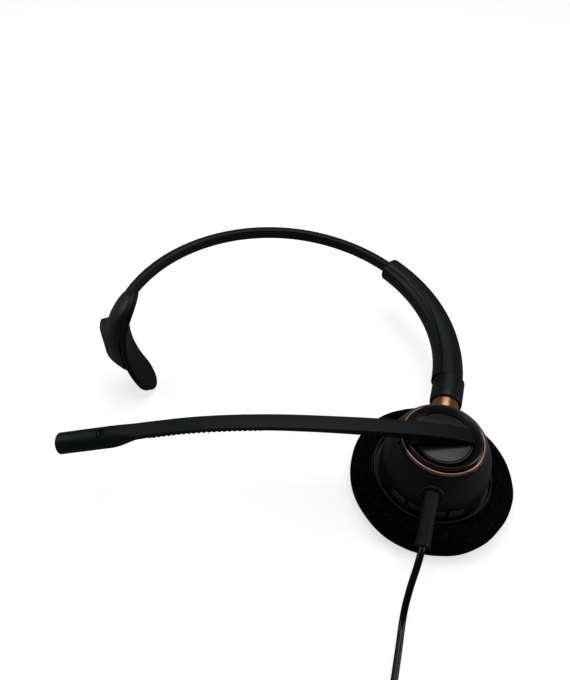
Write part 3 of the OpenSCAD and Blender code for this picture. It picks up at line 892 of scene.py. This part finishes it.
    def outlet(self) -> None:
        """Build the ringed gland and the rubber sleeve that carries the cord away."""
        gland = revolved(
            "gland_ring",
            filleted(
                [
                    (0, -2.4, 0),
                    (4.15, -2.4, 0),
                    (4.15, 0.7, 0.3),
                    (3.35, 0.8, 0.15),
                    (3.25, 0.35, 0.1),
                    (3.0, 0.35, 0.1),
                    (2.9, 0.75, 0.1),
                    (0, 0.75, 0),
                ],
                4,
            ),
            96,
        )
        set_place(gland, GLAND)
        dress(gland, SATIN_ABS, "cup", "cable_gland")
        sleeve = revolved(
            "relief_sleeve",
            filleted(
                [
                    (1.5, -2, 0),
                    (2.6, -2, 0),
                    (2.6, 2.2, 0),
                    (2.42, 6, 3),
                    (2.4, 14.6, 3),
                    (2.75, 17.7, 0.25),
                    (1.75, 17.7, 0.2),
                    (1.55, 15.5, 0),
                ],
                5,
            ),
            80,
        )
        set_place(sleeve, RELIEF)
        dress(sleeve, RUBBER, "cup", "strain_relief")

    def build(self) -> None:
        """Build and dress every piece of the cup."""
        self.cushion()
        self.plate()
        self.shell()
        self.vent_edges()
        self.bezel()
        self.trim()
        self.post()
        self.outlet()
        refinish(ACETAL, "turret_bush")
        refinish(STEEL, "plate_screws", "post_nut", "swivel_washer", "swivel_clip")
        refinish(STEEL, "speaker_magnet", "speaker_basket")
        refinish(RUBBER, "turret_friction_ring")
        refinish(CLOTH, "speaker_mesh")
        refinish(FILM, "speaker_diaphragm")
        refinish(WIRE, "voice_coil")
        refinish(MASK, "circuit_board")


@dataclass
class Boom:
    """Turning cap, arm with its flexing ribs, and microphone tube; x runs out from the cup's axis."""

    width: float = 5.8
    cap_r: float = 13.6
    cap_low: float = 31.6
    cap_high: float = 33.75
    dish_r: float = 10.2
    dish_z: float = 32.05
    top: tuple[tuple[float, float], ...] = (
        (-10.4, 33.3),
        (0, 36.4),
        (15, 38.9),
        (38, 41.1),
        (62, 42.3),
        (84, 41.2),
        (102, 38.2),
        (118, 34.6),
    )
    under: tuple[tuple[float, float], ...] = (
        (16, 35.6),
        (38, 38.4),
        (62, 40),
        (84, 38.9),
        (102, 35.6),
        (117, 31),
    )
    round_from: float = 106.0
    round_over: float = 10.0
    rib_from: float = 64.0
    rib_pitch: float = 1.75
    ribs: int = 22
    mic_r: float = 3.9
    mic_length: float = 19.8
    mic_root: tuple[float, float] = (116.6, 32.65)
    mic_slope: float = 12.4

    def mic_place(self) -> Place:
        """Return the microphone tube's axes, z towards its tip."""
        slope = math.radians(self.mic_slope)
        ahead = BOOM.to_row(np.array([math.cos(slope), 0, -math.sin(slope)]))
        side = BOOM.to_row(np.array([0.0, 1.0, 0.0]))
        origin = BOOM.to_row(np.array([self.mic_root[0], 0, self.mic_root[1]]))
        return Place(origin, np.array([np.cross(side, ahead), side, ahead]))

    def cap(self) -> None:
        """Build the turning cap: a sloping rim round a shallow dish with a groove at its foot."""
        rim, low, high = self.cap_r, self.cap_low, self.cap_high
        profile = filleted(
            [
                (0, low, 0),
                (rim, low, 0.15),
                (rim - 0.05, high - 0.45, 0.35),
                (rim - 0.5, high, 0.3),
                (self.dish_r + 0.2, self.dish_z + 0.2, 0.3),
                (self.dish_r + 0.1, self.dish_z - 0.35, 0.15),
                (self.dish_r - 0.3, self.dish_z - 0.35, 0.1),
                (self.dish_r - 0.6, self.dish_z, 0.2),
                (0, self.dish_z + 0.15, 0),
            ],
            5,
        )
        dress(revolved("cap_dish", profile, 256), SPUN_ABS, "boom", "turret_cap")

    def arm(self) -> None:
        """Build the arm: a flat-topped bar between two smooth lines, which turns round towards its tip."""
        top = smooth_line(np.array(self.top), 14)
        under = smooth_line(np.array(self.under), 14)
        x = np.unique(np.r_[np.linspace(-10.4, 118.4, 300), np.linspace(11.5, 17, 30)])
        high = np.interp(x, top[:, 0], top[:, 1])
        low = np.interp(x, under[:, 0], under[:, 1])
        root = np.interp(x, [-10.4, 11.8, 13.2, 16.0], [31.9, 31.9, 34.6, 35.6])
        low = np.where(x < 16, root, low)
        low = np.minimum(low, high - 0.5)
        width = np.full(len(x), self.width)
        crisp = np.minimum(0.35, (high - low) * 0.3)
        soft = np.interp(x, [12, 18, 60, self.round_from, 112], [0.2, 0.7, 0.9, 1.2, 2.4])
        soft = np.clip(soft, 0, (high - low) * 0.48)
        share = np.clip((x - self.round_from) / self.round_over, 0, 1)
        to_round = share**2 * (3 - 2 * share)
        slope = math.tan(math.radians(self.mic_slope))
        mic_z = self.mic_root[1] - (x - self.mic_root[0]) * slope
        radius = self.mic_r - 0.05
        high = high * (1 - to_round) + (mic_z + radius) * to_round
        low = low * (1 - to_round) + (mic_z - radius) * to_round
        width = width * (1 - to_round) + 2 * radius * to_round
        upper = crisp * (1 - to_round) + radius * 0.98 * to_round
        lower = soft * (1 - to_round) + radius * 0.98 * to_round
        section = box_section(width, low, high, np.stack([upper, lower], axis=1), 8)
        centre = BOOM.to_row(np.stack([x, 0 * x, 0 * x], axis=1))
        side = np.broadcast_to(BOOM.to_row(np.array([0.0, 1.0, 0.0])), centre.shape)
        up = np.broadcast_to(np.array([0.0, 0.0, 1.0]), centre.shape)
        piece = lofted("arm_bar", centre, side, up, section, 30)
        dress(piece, SOFT_TOUCH, "boom", "boom_arm", "boom_core")

    def grip(self) -> None:
        """Build the ribbed underside: one bar whose depth steps in and out at each rib."""
        under = smooth_line(np.array(self.under), 14)
        start = self.rib_from + (np.arange(self.ribs) + 0.3) * self.rib_pitch
        steps = np.sort(np.r_[start, start + 0.12, start + 0.78, start + 0.9])
        x = np.r_[self.rib_from, steps, self.rib_from + self.ribs * self.rib_pitch]
        low = np.interp(x, under[:, 0], under[:, 1])
        phase = ((x - self.rib_from) / self.rib_pitch - 0.3) % 1 * self.rib_pitch
        cut = (phase > 0.05) & (phase < 0.85)
        depth = np.where(cut, 0.0, 0.12)
        width = np.where(cut, self.width - 0.7, self.width - 0.3)
        section = box_section(width, low - depth, low + 1.3, np.full((len(x), 2), 0.3), 3)
        centre = BOOM.to_row(np.stack([x, 0 * x, 0 * x], axis=1))
        side = np.broadcast_to(BOOM.to_row(np.array([0.0, 1.0, 0.0])), centre.shape)
        up = np.broadcast_to(np.array([0.0, 0.0, 1.0]), centre.shape)
        dress(lofted("grip_ribs", centre, side, up, section, 30), RUBBER, "boom", "boom_grip")

    def microphone(self) -> None:
        """Build the microphone tube with its port, and the shallow cap in its end."""
        r, length = self.mic_r, self.mic_length
        place = self.mic_place()
        tube = revolved(
            "mic_barrel",
            filleted(
                [
                    (0, -0.2, 0),
                    (r, -0.2, 0.1),
                    (r, length - 0.1, 0.3),
                    (r - 0.75, length + 0.2, 0.2),
                    (r - 0.75, 0.5, 0),
                    (0, 0.5, 0),
                ],
                5,
            ),
            96,
        )
        leg = (2.6, 3.6)
        for name, corners, ends in (
            ("port_tool", [(-5, -0.8, 0), (-1, -0.8, 0), (-1, 1.7, 0), (-5, 1.7, 0)], (0.9, 2.8)),
            ("bracket_tool", [(-5, -1.2, 0), (-3.2, -1.2, 0), (-2.9, 2.1, 0), (-5, 2.1, 0)], (3.55, 3.95)),
            ("upper_leg_tool", [(-5, -1.2, 0), (-3.2, -1.2, 0), (-3.2, -0.95, 0), (-5, -0.95, 0)], leg),
            ("lower_leg_tool", [(-5, 1.85, 0), (-2.9, 1.85, 0), (-2.9, 2.1, 0), (-5, 2.1, 0)], leg),
        ):
            tool = lofted(
                name,
                np.array([[0, 0, end] for end in ends]),
                np.tile([1.0, 0, 0], (2, 1)),
                np.tile([0, 1.0, 0], (2, 1)),
                filleted(corners, 3),
            )
            cut_away(tube, tool)
        set_place(tube, place)
        dress(bevelled(tube, 0.12, 2, 50), SOFT_TOUCH, "boom", "mic_tube")
        end = revolved(
            "mic_end",
            filleted(
                [
                    (0, length - 2, 0),
                    (r - 0.78, length - 2, 0),
                    (r - 0.78, length - 0.15, 0.3),
                    (0, length + 0.1, 0),
                ],
                5,
            ),
            96,
        )
        set_place(end, place)
        dress(end, SOFT_TOUCH, "boom", "mic_end_cap")

    def build(self) -> None:
        """Build and dress every piece of the boom."""
        self.cap()
        self.arm()
        self.grip()
        self.microphone()
        refinish(STEEL, "turret_spindle", "turret_clip", "mic_capsule")
        refinish(RUBBER, "mic_boot")
        refinish(CLOTH, "mic_mesh")


@dataclass
class Sleeve:
    """Collar on the post and the two shells in which the headband slides."""

    path: BandPath
    start: float = 0.8
    end: float = 58.6
    seam_gap: float = 0.15
    seam_line: tuple[tuple[float, float], ...] = (
        (0, -3.4),
        (4, -3.5),
        (13, -3.6),
        (22, -3.2),
        (36, -2.0),
        (45.9, -2.1),
        (46.3, -3.1),
        (60, -3.3),
    )
    jog: tuple[float, float] = (45.9, 46.3)
    mouth_rounding: float = 1.4
    collar_r: float = 6.2
    collar_bore: float = 5.35
    collar_from: float = 22.6
    cuts: tuple[tuple[str, float], ...] = (("upper_cut", 31.2), ("lower_cut", 29.6))
    cut_width: float = 0.35
    throat_u: float = 1.9
    throat_v: float = 3.0

    def half(
        self,
        outer: bool,
        width: np.ndarray,
        height: np.ndarray,
        seam: np.ndarray,
        power: np.ndarray,
    ) -> np.ndarray:
        """Work out the outline of one shell at each station.

        The whole outline is u = w/2 |cos a|^p, v = h/2 |sin a|^p with the signs of cos and sin. The shell
        is the part on one side of u = seam, closed by a notch that leaves the throat free.

        Args:
            outer: true for the shell on the outside of the curve.
            width: the whole sleeve's width at each station.
            height: its height at each station.
            seam: where the two shells meet at each station.
            power: exponent at each station: 1 is an ellipse, less is squarer.

        Returns:
            An array of stations, outline points and (u, v).
        """
        sign = 1.0 if outer else -1.0
        edge = (seam + sign * self.seam_gap)[:, None]
        reach = np.clip(np.abs(edge) / (width[:, None] / 2), 0, 0.98) ** (1 / power[:, None])
        start = np.arccos(np.sign(edge) * reach)
        along = np.linspace(0, 1, 33)[None]
        turn = start + along * (-2 * start if outer else TAU - 2 * start)
        cos, sin = np.cos(turn), np.sin(turn)
        u = width[:, None] / 2 * np.sign(cos) * np.abs(cos) ** power[:, None]
        v = height[:, None] / 2 * np.sign(sin) * np.abs(sin) ** power[:, None]
        deep = np.full_like(edge, self.throat_u) if outer else edge - 0.2
        low, high = (np.full_like(edge, side * self.throat_v) for side in (-1, 1))
        notch_u = np.concatenate([edge, deep, deep, edge], axis=1)
        notch_v = np.concatenate([low, low, high, high], axis=1)
        notch = np.stack([notch_u, notch_v], axis=2)
        return np.concatenate([np.stack([u, v], axis=2), notch], axis=1)

    def shells(self) -> None:
        """Build the two shells along the sliding arc: round at the collar, slimmer at the mouth."""
        quarter = np.linspace(0, math.pi / 2, 7)
        rounding = self.mouth_rounding
        per_degree = math.radians(self.path.slide_r)
        body = np.unique(np.r_[np.linspace(self.start, self.end - rounding / per_degree, 110), self.jog])
        angles = np.r_[body, self.end - rounding * (1 - np.sin(quarter[1:])) / per_degree]
        shrink = np.r_[np.zeros(len(body)), rounding * (1 - np.cos(quarter[1:]))]
        centre, side, up = self.path.stations(angles)
        width = np.interp(angles, [0.8, 5, 14, 30, 60], [12.4, 12.2, 11.5, 11.0, 10.4]) - 2 * shrink
        height = np.interp(angles, [0.8, 5, 14, 30, 60], [12.4, 12.1, 11.2, 10.6, 9.8]) - 2 * shrink
        power = np.interp(angles, [0.8, 12, 60], [1.0, 0.86, 0.74])
        seam = np.interp(angles, *zip(*self.seam_line))
        for outer, name in ((True, "shell_outside"), (False, "shell_inside")):
            outline = self.half(outer, width, height, seam, power)
            piece = lofted(name, centre, side, up, outline, 50)
            dress(piece, SATIN_ABS, "sleeve", "sleeve_outer" if outer else "sleeve_inner")

    def collar(self) -> None:
        """Build the collar round the post, with a rounded mouth."""
        profile = filleted(
            [
                (self.collar_bore, self.collar_from, 0.25),
                (6.1, self.collar_from, 0.5),
                (self.collar_r, 25, 0.2),
                (self.collar_r, 34.02, 0),
                (4.0, 34.02, 0),
                (4.0, 31.4, 0),
                (self.collar_bore, 31.4, 0),
            ],
            5,
        )
        piece = revolved("collar_ring", profile, 128)
        for name, low in self.cuts:
            tool = lofted(
                name,
                np.array([[0, 0, low], [0, 0, low + self.cut_width]]),
                np.tile([1.0, 0, 0], (2, 1)),
                np.tile([0, 1.0, 0], (2, 1)),
                np.array([(-8.0, -7.0), (-3.2, -7.0), (-3.2, -4.9), (-5.5, -2.0), (-8.0, -2.0)]),
            )
            cut_away(piece, tool)
        set_place(piece, POST)
        dress(piece, SATIN_ABS, "sleeve", "sleeve_collar")

    def build(self) -> None:
        """Build and dress every piece of the sleeve."""
        self.shells()
        self.collar()
        refinish(ACETAL, "pivot_bush")
        refinish(STEEL, "detent_spring")


@dataclass
class Headband:
    """The sprung strip that slides in the sleeve, with a groove along its outside."""

    path: BandPath
    start: float = 22.5
    thick: float = 3.2
    height: float = 5.4

    def strip(self) -> None:
        """Build the strip: one outline with a groove carried along both arcs."""
        half_t, half_h = self.thick / 2, self.height / 2
        outline = filleted(
            [
                (half_t, -half_h, 0.8),
                (half_t, 1.15, 0.12),
                (half_t - 0.55, 1.2, 0),
                (half_t - 0.55, 1.6, 0),
                (half_t, 1.65, 0.12),
                (half_t, half_h, 0.55),
                (-half_t, half_h, 0.8),
                (-half_t, -half_h, 0.8),
            ],
            5,
        )
        angles = np.linspace(self.start, self.path.end - 1.2, 220)
        piece = lofted("band_bar", *self.path.stations(angles), outline, 30)
        dress(piece, SATIN_ABS, "band", "band_strip", "band_spring")

    def build(self) -> None:
        """Build and dress every piece of the headband."""
        self.strip()
        refinish(SATIN_ABS, "band_stop")


@dataclass
class TempleBar:
    """Curved bar that rests above the other ear: frame, pad, crowned cover and the housing of its pivot."""

    path: BandPath
    face: float = 4.6
    middle: float = -1.0
    width: float = 17.0
    half: float = 27.75
    curve: float = 53.0
    frame_t: float = 1.0
    pad_t: float = 1.3
    crown_h: float = 5.6
    turn: float = -4.0
    house_c: tuple[float, float] = (-7.2, 12.2)
    house_r: float = 16.7
    house_v: tuple[float, float] = (-5.65, 6.2)

    def outline(self, half_w: float) -> np.ndarray:
        """Return the slot-shaped outline (x, z) with a half width, its straight sides in short steps."""
        straight = self.half - self.width / 2
        line = np.linspace(-straight, straight, 40)[1:-1]
        arc = np.linspace(0, math.pi, 41)
        top = np.stack([half_w * np.cos(arc), straight + half_w * np.sin(arc)], axis=1)
        right = np.stack([np.full(len(line), half_w), line], axis=1)
        return np.vstack([right, top, -right, -top])

    def strip(self, name: str, near: float, far: float, inset: float, swell: float) -> bpy.types.Object:
        """Build a strip of the bar between two depths.

        The outline is a slot shape (x, z). Depth y is face + curve - sqrt((curve - d)^2 - z^2), and the side
        away from the head swells by swell (1 - q^2), where q goes from 0 in the middle to 1 at the edge.

        Args:
            name: the object's name.
            near: depth of the side away from the head.
            far: depth of the side towards the head.
            inset: how far the outline stands in from the bar's edge.
            swell: how far the far side bulges towards the head.

        Returns:
            The new object.
        """
        edge = self.outline(self.width / 2 - inset)
        rounding = min(0.3, (far - near) / 2)
        arc = np.linspace(-math.pi / 2, math.pi / 2, 7)
        shrink = np.linspace(0, 1, 16)
        q = np.concatenate([shrink[:-1], np.ones(7), shrink[-2::-1]])
        out = np.concatenate([np.zeros(15), rounding * np.cos(arc), np.zeros(15)])
        middle = (near + far) / 2 + (far - near) / 2 * np.sin(arc)
        deep = np.concatenate([np.full(15, near), middle, far + swell * (1 - shrink[-2::-1] ** 2)])
        unit = edge / np.linalg.norm(edge, axis=1)[:, None]
        flat = edge[None] * q[:, None, None] + unit[None] * ((out - rounding) * (q > 0))[:, None, None]
        x, z = flat[:, :, 0], flat[:, :, 1]
        y = self.face + self.curve - np.sqrt((self.curve - deep[:, None]) ** 2 - z**2)
        points = np.stack([x + self.middle, y, z], axis=2)
        piece = make_mesh(name, points.reshape(-1, 3), quads(len(q), len(edge)).tolist(), 50)
        set_place(piece, self.path.end_place(self.turn))
        return piece

    def cover_outline(self, z: np.ndarray) -> np.ndarray:
        """Work out the cover's section at heights along the bar.

        Above, it is an arch h (1 - (x / w)^2)^0.45 on the bar's outer face. At the housing it is an arc
        about house_c that runs out at the near edge. Between the two it is their mean, weighted by a
        share that fades.

        Args:
            z: heights along the bar.

        Returns:
            An array of heights, outline points and (x, y), from the near edge round the back to the far edge.
        """
        straight = self.half - self.width / 2
        past = np.clip(np.abs(z) - straight, 0, None)
        wide = np.sqrt(np.maximum((self.width / 2 - 0.4) ** 2 - past**2, 0.02))[:, None]
        tall = self.crown_h * np.clip(np.sqrt(np.clip((self.half - 0.2 - z) / 12, 0, 1)), 0.03, 1)
        tall *= np.clip((z + 9) / 10, 0.03, 1)
        arch = np.linspace(0, math.pi, 49)[None]
        base = (self.face + self.curve - np.sqrt(self.curve**2 - z**2) + 0.05)[:, None]
        arch_x = self.middle + wide * np.cos(arch)
        arch_y = base - tall[:, None] * np.sin(arch) ** 0.9
        turn = np.radians(np.linspace(-28.5, -99.7, 40))
        house_x = np.r_[self.house_c[0] + self.house_r * np.cos(turn), np.full(9, -10.0)]
        house_y = np.r_[self.house_c[1] + self.house_r * np.sin(turn), np.linspace(-4.0, self.face, 9)]
        house_y = np.minimum(house_y[None], base)
        low, high = self.house_v
        above = np.clip((high + 7.5 - z) / 7.5, 0, 1) ** 2.3
        below = np.sqrt(np.clip((z - low + 2.6) / 2.6, 0, 1))
        share = np.where(z > high, above, np.where(z < low, below, 1.0))[:, None]
        x = arch_x + share * (house_x[None] - arch_x)
        y = arch_y + share * (house_y - arch_y)
        return np.stack([x, y], axis=2)

    def cover(self) -> None:
        """Build the cover as one loft along the bar and cut the band's pocket and a slot in it."""
        low, high = self.house_v
        z = np.unique(
            np.r_[
                low - 2.6 * (1 - np.sin(np.linspace(0, math.pi / 2, 10))),
                np.linspace(low, high, 8),
                np.linspace(high, high + 7.5, 24),
                self.half - 0.5 - (self.half - 8 - high) * (1 - np.sin(np.linspace(0, math.pi / 2, 40))),
            ]
        )
        outline = self.cover_outline(z)
        base = self.face + self.curve - np.sqrt(self.curve**2 - z**2) + 0.05
        back = np.linspace(0, 1, 14)[None, 1:-1]
        first, last = outline[:, :1, 0], outline[:, -1:, 0]
        flat = np.stack([last + back * (first - last), np.repeat(base[:, None], 12, 1)], axis=2)
        section = np.concatenate([outline, flat], axis=1)
        axis = np.stack([0 * z, 0 * z, z], axis=1)
        side, up = np.tile([1.0, 0, 0], (len(z), 1)), np.tile([0, 1.0, 0], (len(z), 1))
        piece = lofted("cover_back", axis, side, up, section, 40)
        pocket = [(-1.3, -2.5, 2.0), (-1.3, 2.5, 2.0), (-16, 3.4, 0), (-16, -3.0, 0)]
        slot = [(0.9, -8, 0), (2.6, -8, 0), (2.6, 0.6, 0), (0.9, 0.6, 0)]
        for name, ends, corners in (("pocket_tool", (-3.1, 3.1), pocket), ("slot_tool", (-2.4, 2.8), slot)):
            tool = lofted(
                name,
                np.array([[0.0, 0, end] for end in ends]),
                np.tile([1.0, 0, 0], (2, 1)),
                np.tile([0, 1.0, 0], (2, 1)),
                filleted(corners, 5),
            )
            cut_away(piece, tool)
        set_place(piece, self.path.end_place(self.turn))
        dress(piece, SATIN_ABS, "tbar", "tbar_cover")

    def build(self) -> None:
        """Build and dress every piece of the bar."""
        back = self.strip("bar_frame", 0.0, self.frame_t, 0.0, 0.0)
        dress(back, SATIN_ABS, "tbar", "tbar_frame")
        pad = self.strip("bar_pad", self.frame_t + 0.02, self.frame_t + self.pad_t, 0.15, 0.35)
        dress(pad, RUBBER, "tbar", "tbar_pad")
        self.cover()
        refinish(STEEL, "tbar_pin", "tbar_screws")


@dataclass
class Cord:
    """The free cord: a short run on the table, the rest in a tied coil, and the tail into the plug."""

    radius: float = 1.15
    coil_x: float = 20.4
    coil_y: float = -92.5
    coil_r: float = 20.6
    pitch: float = 2.85
    low_z: float = 1.85
    high_z: float = 4.65
    turns: float = 3.4
    run: tuple[tuple[float, float, float], ...] = (
        (0, -32, 20.3),
        (0, -36.5, 19),
        (-0.3, -41, 16.2),
        (-0.7, -44.8, 12),
        (-0.8, -47.6, 7.6),
        (-0.8, -51, 3.8),
        (-0.6, -55.5, 1.7),
        (-0.4, -61, 1.4),
        (-0.2, -70, 1.5),
        (-0.2, -80, 1.7),
        (-0.2, -92.5, 1.85),
    )
    tail: tuple[tuple[float, float, float], ...] = (
        (1, -99.5, 4.65),
        (3.2, -107, 4.6),
        (7.4, -113.6, 4.5),
        (13, -118.8, 4.35),
        (20.4, -122, 4.25),
        (28.4, -122, 4.25),
    )

    def coil(self) -> np.ndarray:
        """Work out the coil's centreline.

        It runs inwards on the lower layer, climbs at the inside and runs outwards on the upper layer.

        Returns:
            Points a few degrees apart, from the run's end to the tail's start.
        """
        sweep = self.turns * 360
        end_x, end_y = self.tail[0][0] - self.coil_x, self.tail[0][1] - self.coil_y
        last = 7 * 360 + math.degrees(math.atan2(end_y, end_x)) % 360
        climb = 90.0
        angle = np.arange(186.0, last, 6.0)
        gone = angle - 180
        back = last - 180 - gone
        inward = self.coil_r - self.pitch * np.minimum(gone, sweep) / 360
        whole = last - 180 - sweep - climb
        outward = self.coil_r - (self.coil_r - inward.min()) * np.clip(back / whole, 0, 1)
        radius = np.where(gone < sweep + climb, inward, outward)
        rise = np.clip((gone - sweep) / climb, 0, 1)
        height = self.low_z + (self.high_z - self.low_z) * rise * rise * (3 - 2 * rise)
        turn = np.radians(angle)
        across, along = self.coil_x + radius * np.cos(turn), self.coil_y + radius * np.sin(turn)
        return np.stack([across, along, height], axis=1)

    def line(self) -> np.ndarray:
        """Return the whole centreline, from inside the strain relief to inside the plug."""
        run = smooth_line(np.array(self.run, float), 6)
        tail = smooth_line(np.array(self.tail, float), 6)
        return np.vstack([run, self.coil(), tail])

    def tube(self, line: np.ndarray) -> bpy.types.Object:
        """Sweep a circle along the centreline, each ring square to the step between its neighbours.

        Args:
            line: the centreline's points.

        Returns:
            The cord's object.
        """
        step = np.vstack([line[1:2] - line[:1], line[2:] - line[:-2], line[-1:] - line[-2:-1]])
        ahead = step / np.linalg.norm(step, axis=1)[:, None]
        level = np.cross([0.0, 0.0, 1.0], ahead)
        side = level / np.linalg.norm(level, axis=1)[:, None]
        up = np.cross(ahead, side)
        turn = ring_angles(16)
        section = self.radius * np.stack([np.cos(turn), np.sin(turn)], axis=1)
        return lofted("cord_line", line, side, up, section, 60)

    def tie(self) -> None:
        """Dress the tie and the plug's CAD pieces."""
        refinish(RUBBER, "cable_tie", "plug_relief")
        refinish(SATIN_ABS, "plug_shell_lower", "plug_shell_upper", "plug_tongue")
        refinish(GOLD, "plug_contacts")

    def build(self) -> None:
        """Build the cord and dress the pieces on it."""
        line = self.line()
        piece = self.tube(line)
        dress(piece, JACKET, "cup", "cable_run", "cable_coil", "cable_tail")
        self.tie()


# ---------------------------------------------------------------- studio


@dataclass
class Studio:
    """Camera, floor, world and lamps."""

    eye: tuple[float, float, float] = (-19.5, -120.7, 196.1)
    ahead: tuple[float, float, float] = (-0.213, 0.656, -0.724)
    lens: float = 29.118
    floor_glow: float = 0.66
    floor_bounce: float = 0.25
    room_level: float = 0.07
    floor_half: float = 3000.0
    aim: tuple[float, float, float] = (-50, 20, 20)

    def camera(self) -> None:
        """Place the camera in front of the cup and above it, looking down at the headset."""
        data = bpy.data.cameras.new("camera")
        data.lens = self.lens
        data.clip_start = 0.005
        made = bpy.data.objects.new("camera", data)
        made.location = Vector(self.eye) * MM
        made.rotation_euler = Vector(self.ahead).to_track_quat("-Z", "Y").to_euler()
        bpy.context.scene.collection.objects.link(made)
        bpy.context.scene.camera = made

    def floor(self) -> None:
        """Lay a matt white sheet that fades to plain white for the camera and keeps the shadow."""
        size = self.floor_half
        corners = np.array([[-size, -size, 0], [size, -size, 0], [size, size, 0], [-size, size, 0]])
        data = bpy.data.meshes.new("floor")
        data.from_pydata((corners * MM).tolist(), [], [[0, 1, 2, 3]])
        made = bpy.data.objects.new("floor", data)
        bpy.context.scene.collection.objects.link(made)
        material = bpy.data.materials.new("white_paper_sheet")
        material.use_nodes = True
        tree = material.node_tree
        shader = tree.nodes["Principled BSDF"]
        shader.inputs["Base Color"].default_value = linear("#f4f4f4")
        shader.inputs["Roughness"].default_value = 0.9
        shader.inputs["Specular IOR Level"].default_value = 0.0
        glow = add_node(tree, "ShaderNodeEmission", {"Color": (1, 1, 1, 1), "Strength": self.floor_glow})
        lit = add_node(tree, "ShaderNodeAddShader", None, {0: shader.outputs[0], 1: glow.outputs[0]})
        dim = add_node(tree, "ShaderNodeBsdfDiffuse", {"Color": (*[self.floor_bounce] * 3, 1.0)})
        path = add_node(tree, "ShaderNodeLightPath")
        mix = add_node(
            tree,
            "ShaderNodeMixShader",
            None,
            {0: path.outputs["Is Camera Ray"], 1: dim.outputs[0], 2: lit.outputs[0]},
        )
        tree.links.new(mix.outputs[0], tree.nodes["Material Output"].inputs["Surface"])
        data.materials.append(material)

    def world(self) -> None:
        """Fill the room with a dim even light that the camera sees as white."""
        world = bpy.data.worlds.new("room")
        bpy.context.scene.world = world
        world.use_nodes = True
        tree = world.node_tree
        back = tree.nodes["Background"]
        back.inputs["Color"].default_value = (1, 1, 1, 1)
        path = add_node(tree, "ShaderNodeLightPath")
        level = add_node(
            tree,
            "ShaderNodeMapRange",
            {"To Min": self.room_level, "To Max": 1.0},
            {"Value": path.outputs["Is Camera Ray"]},
        )
        tree.links.new(level.outputs["Result"], back.inputs["Strength"])

    def lamp(self, name: str, place: tuple[float, float, float], size: float, watts: float) -> None:
        """Hang one square lamp that faces the headset.

        Args:
            name: the lamp's name.
            place: where it hangs, in millimetres.
            size: length of its side, in millimetres.
            watts: its power.
        """
        data = bpy.data.lights.new(name, "AREA")
        data.size = size * MM
        data.energy = watts
        made = bpy.data.objects.new(name, data)
        made.location = Vector(place) * MM
        target = Vector(self.aim) * MM
        made.rotation_euler = (target - made.location).to_track_quat("-Z", "Y").to_euler()
        bpy.context.scene.collection.objects.link(made)

    def build(self) -> None:
        """Set up the whole studio."""
        self.camera()
        self.floor()
        self.world()
        self.lamp("overhead", (-80, 260, 900), 700, 3.0)
        self.lamp("right_side", (800, 60, 350), 400, 1.6)
        self.lamp("left_side", (-800, -60, 400), 400, 1.1)
        bpy.context.scene.view_settings.view_transform = "Standard"


def main() -> None:
    """Build the headset and the studio in order."""
    logging.basicConfig(level=logging.INFO, format="%(message)s")
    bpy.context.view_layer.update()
    Studio().build()
    Cord().build()
    path = BandPath()
    EarCup().build()
    Boom().build()
    Sleeve(path).build()
    Headband(path).build()
    TempleBar(path).build()


if __name__ == "__main__":
    main()
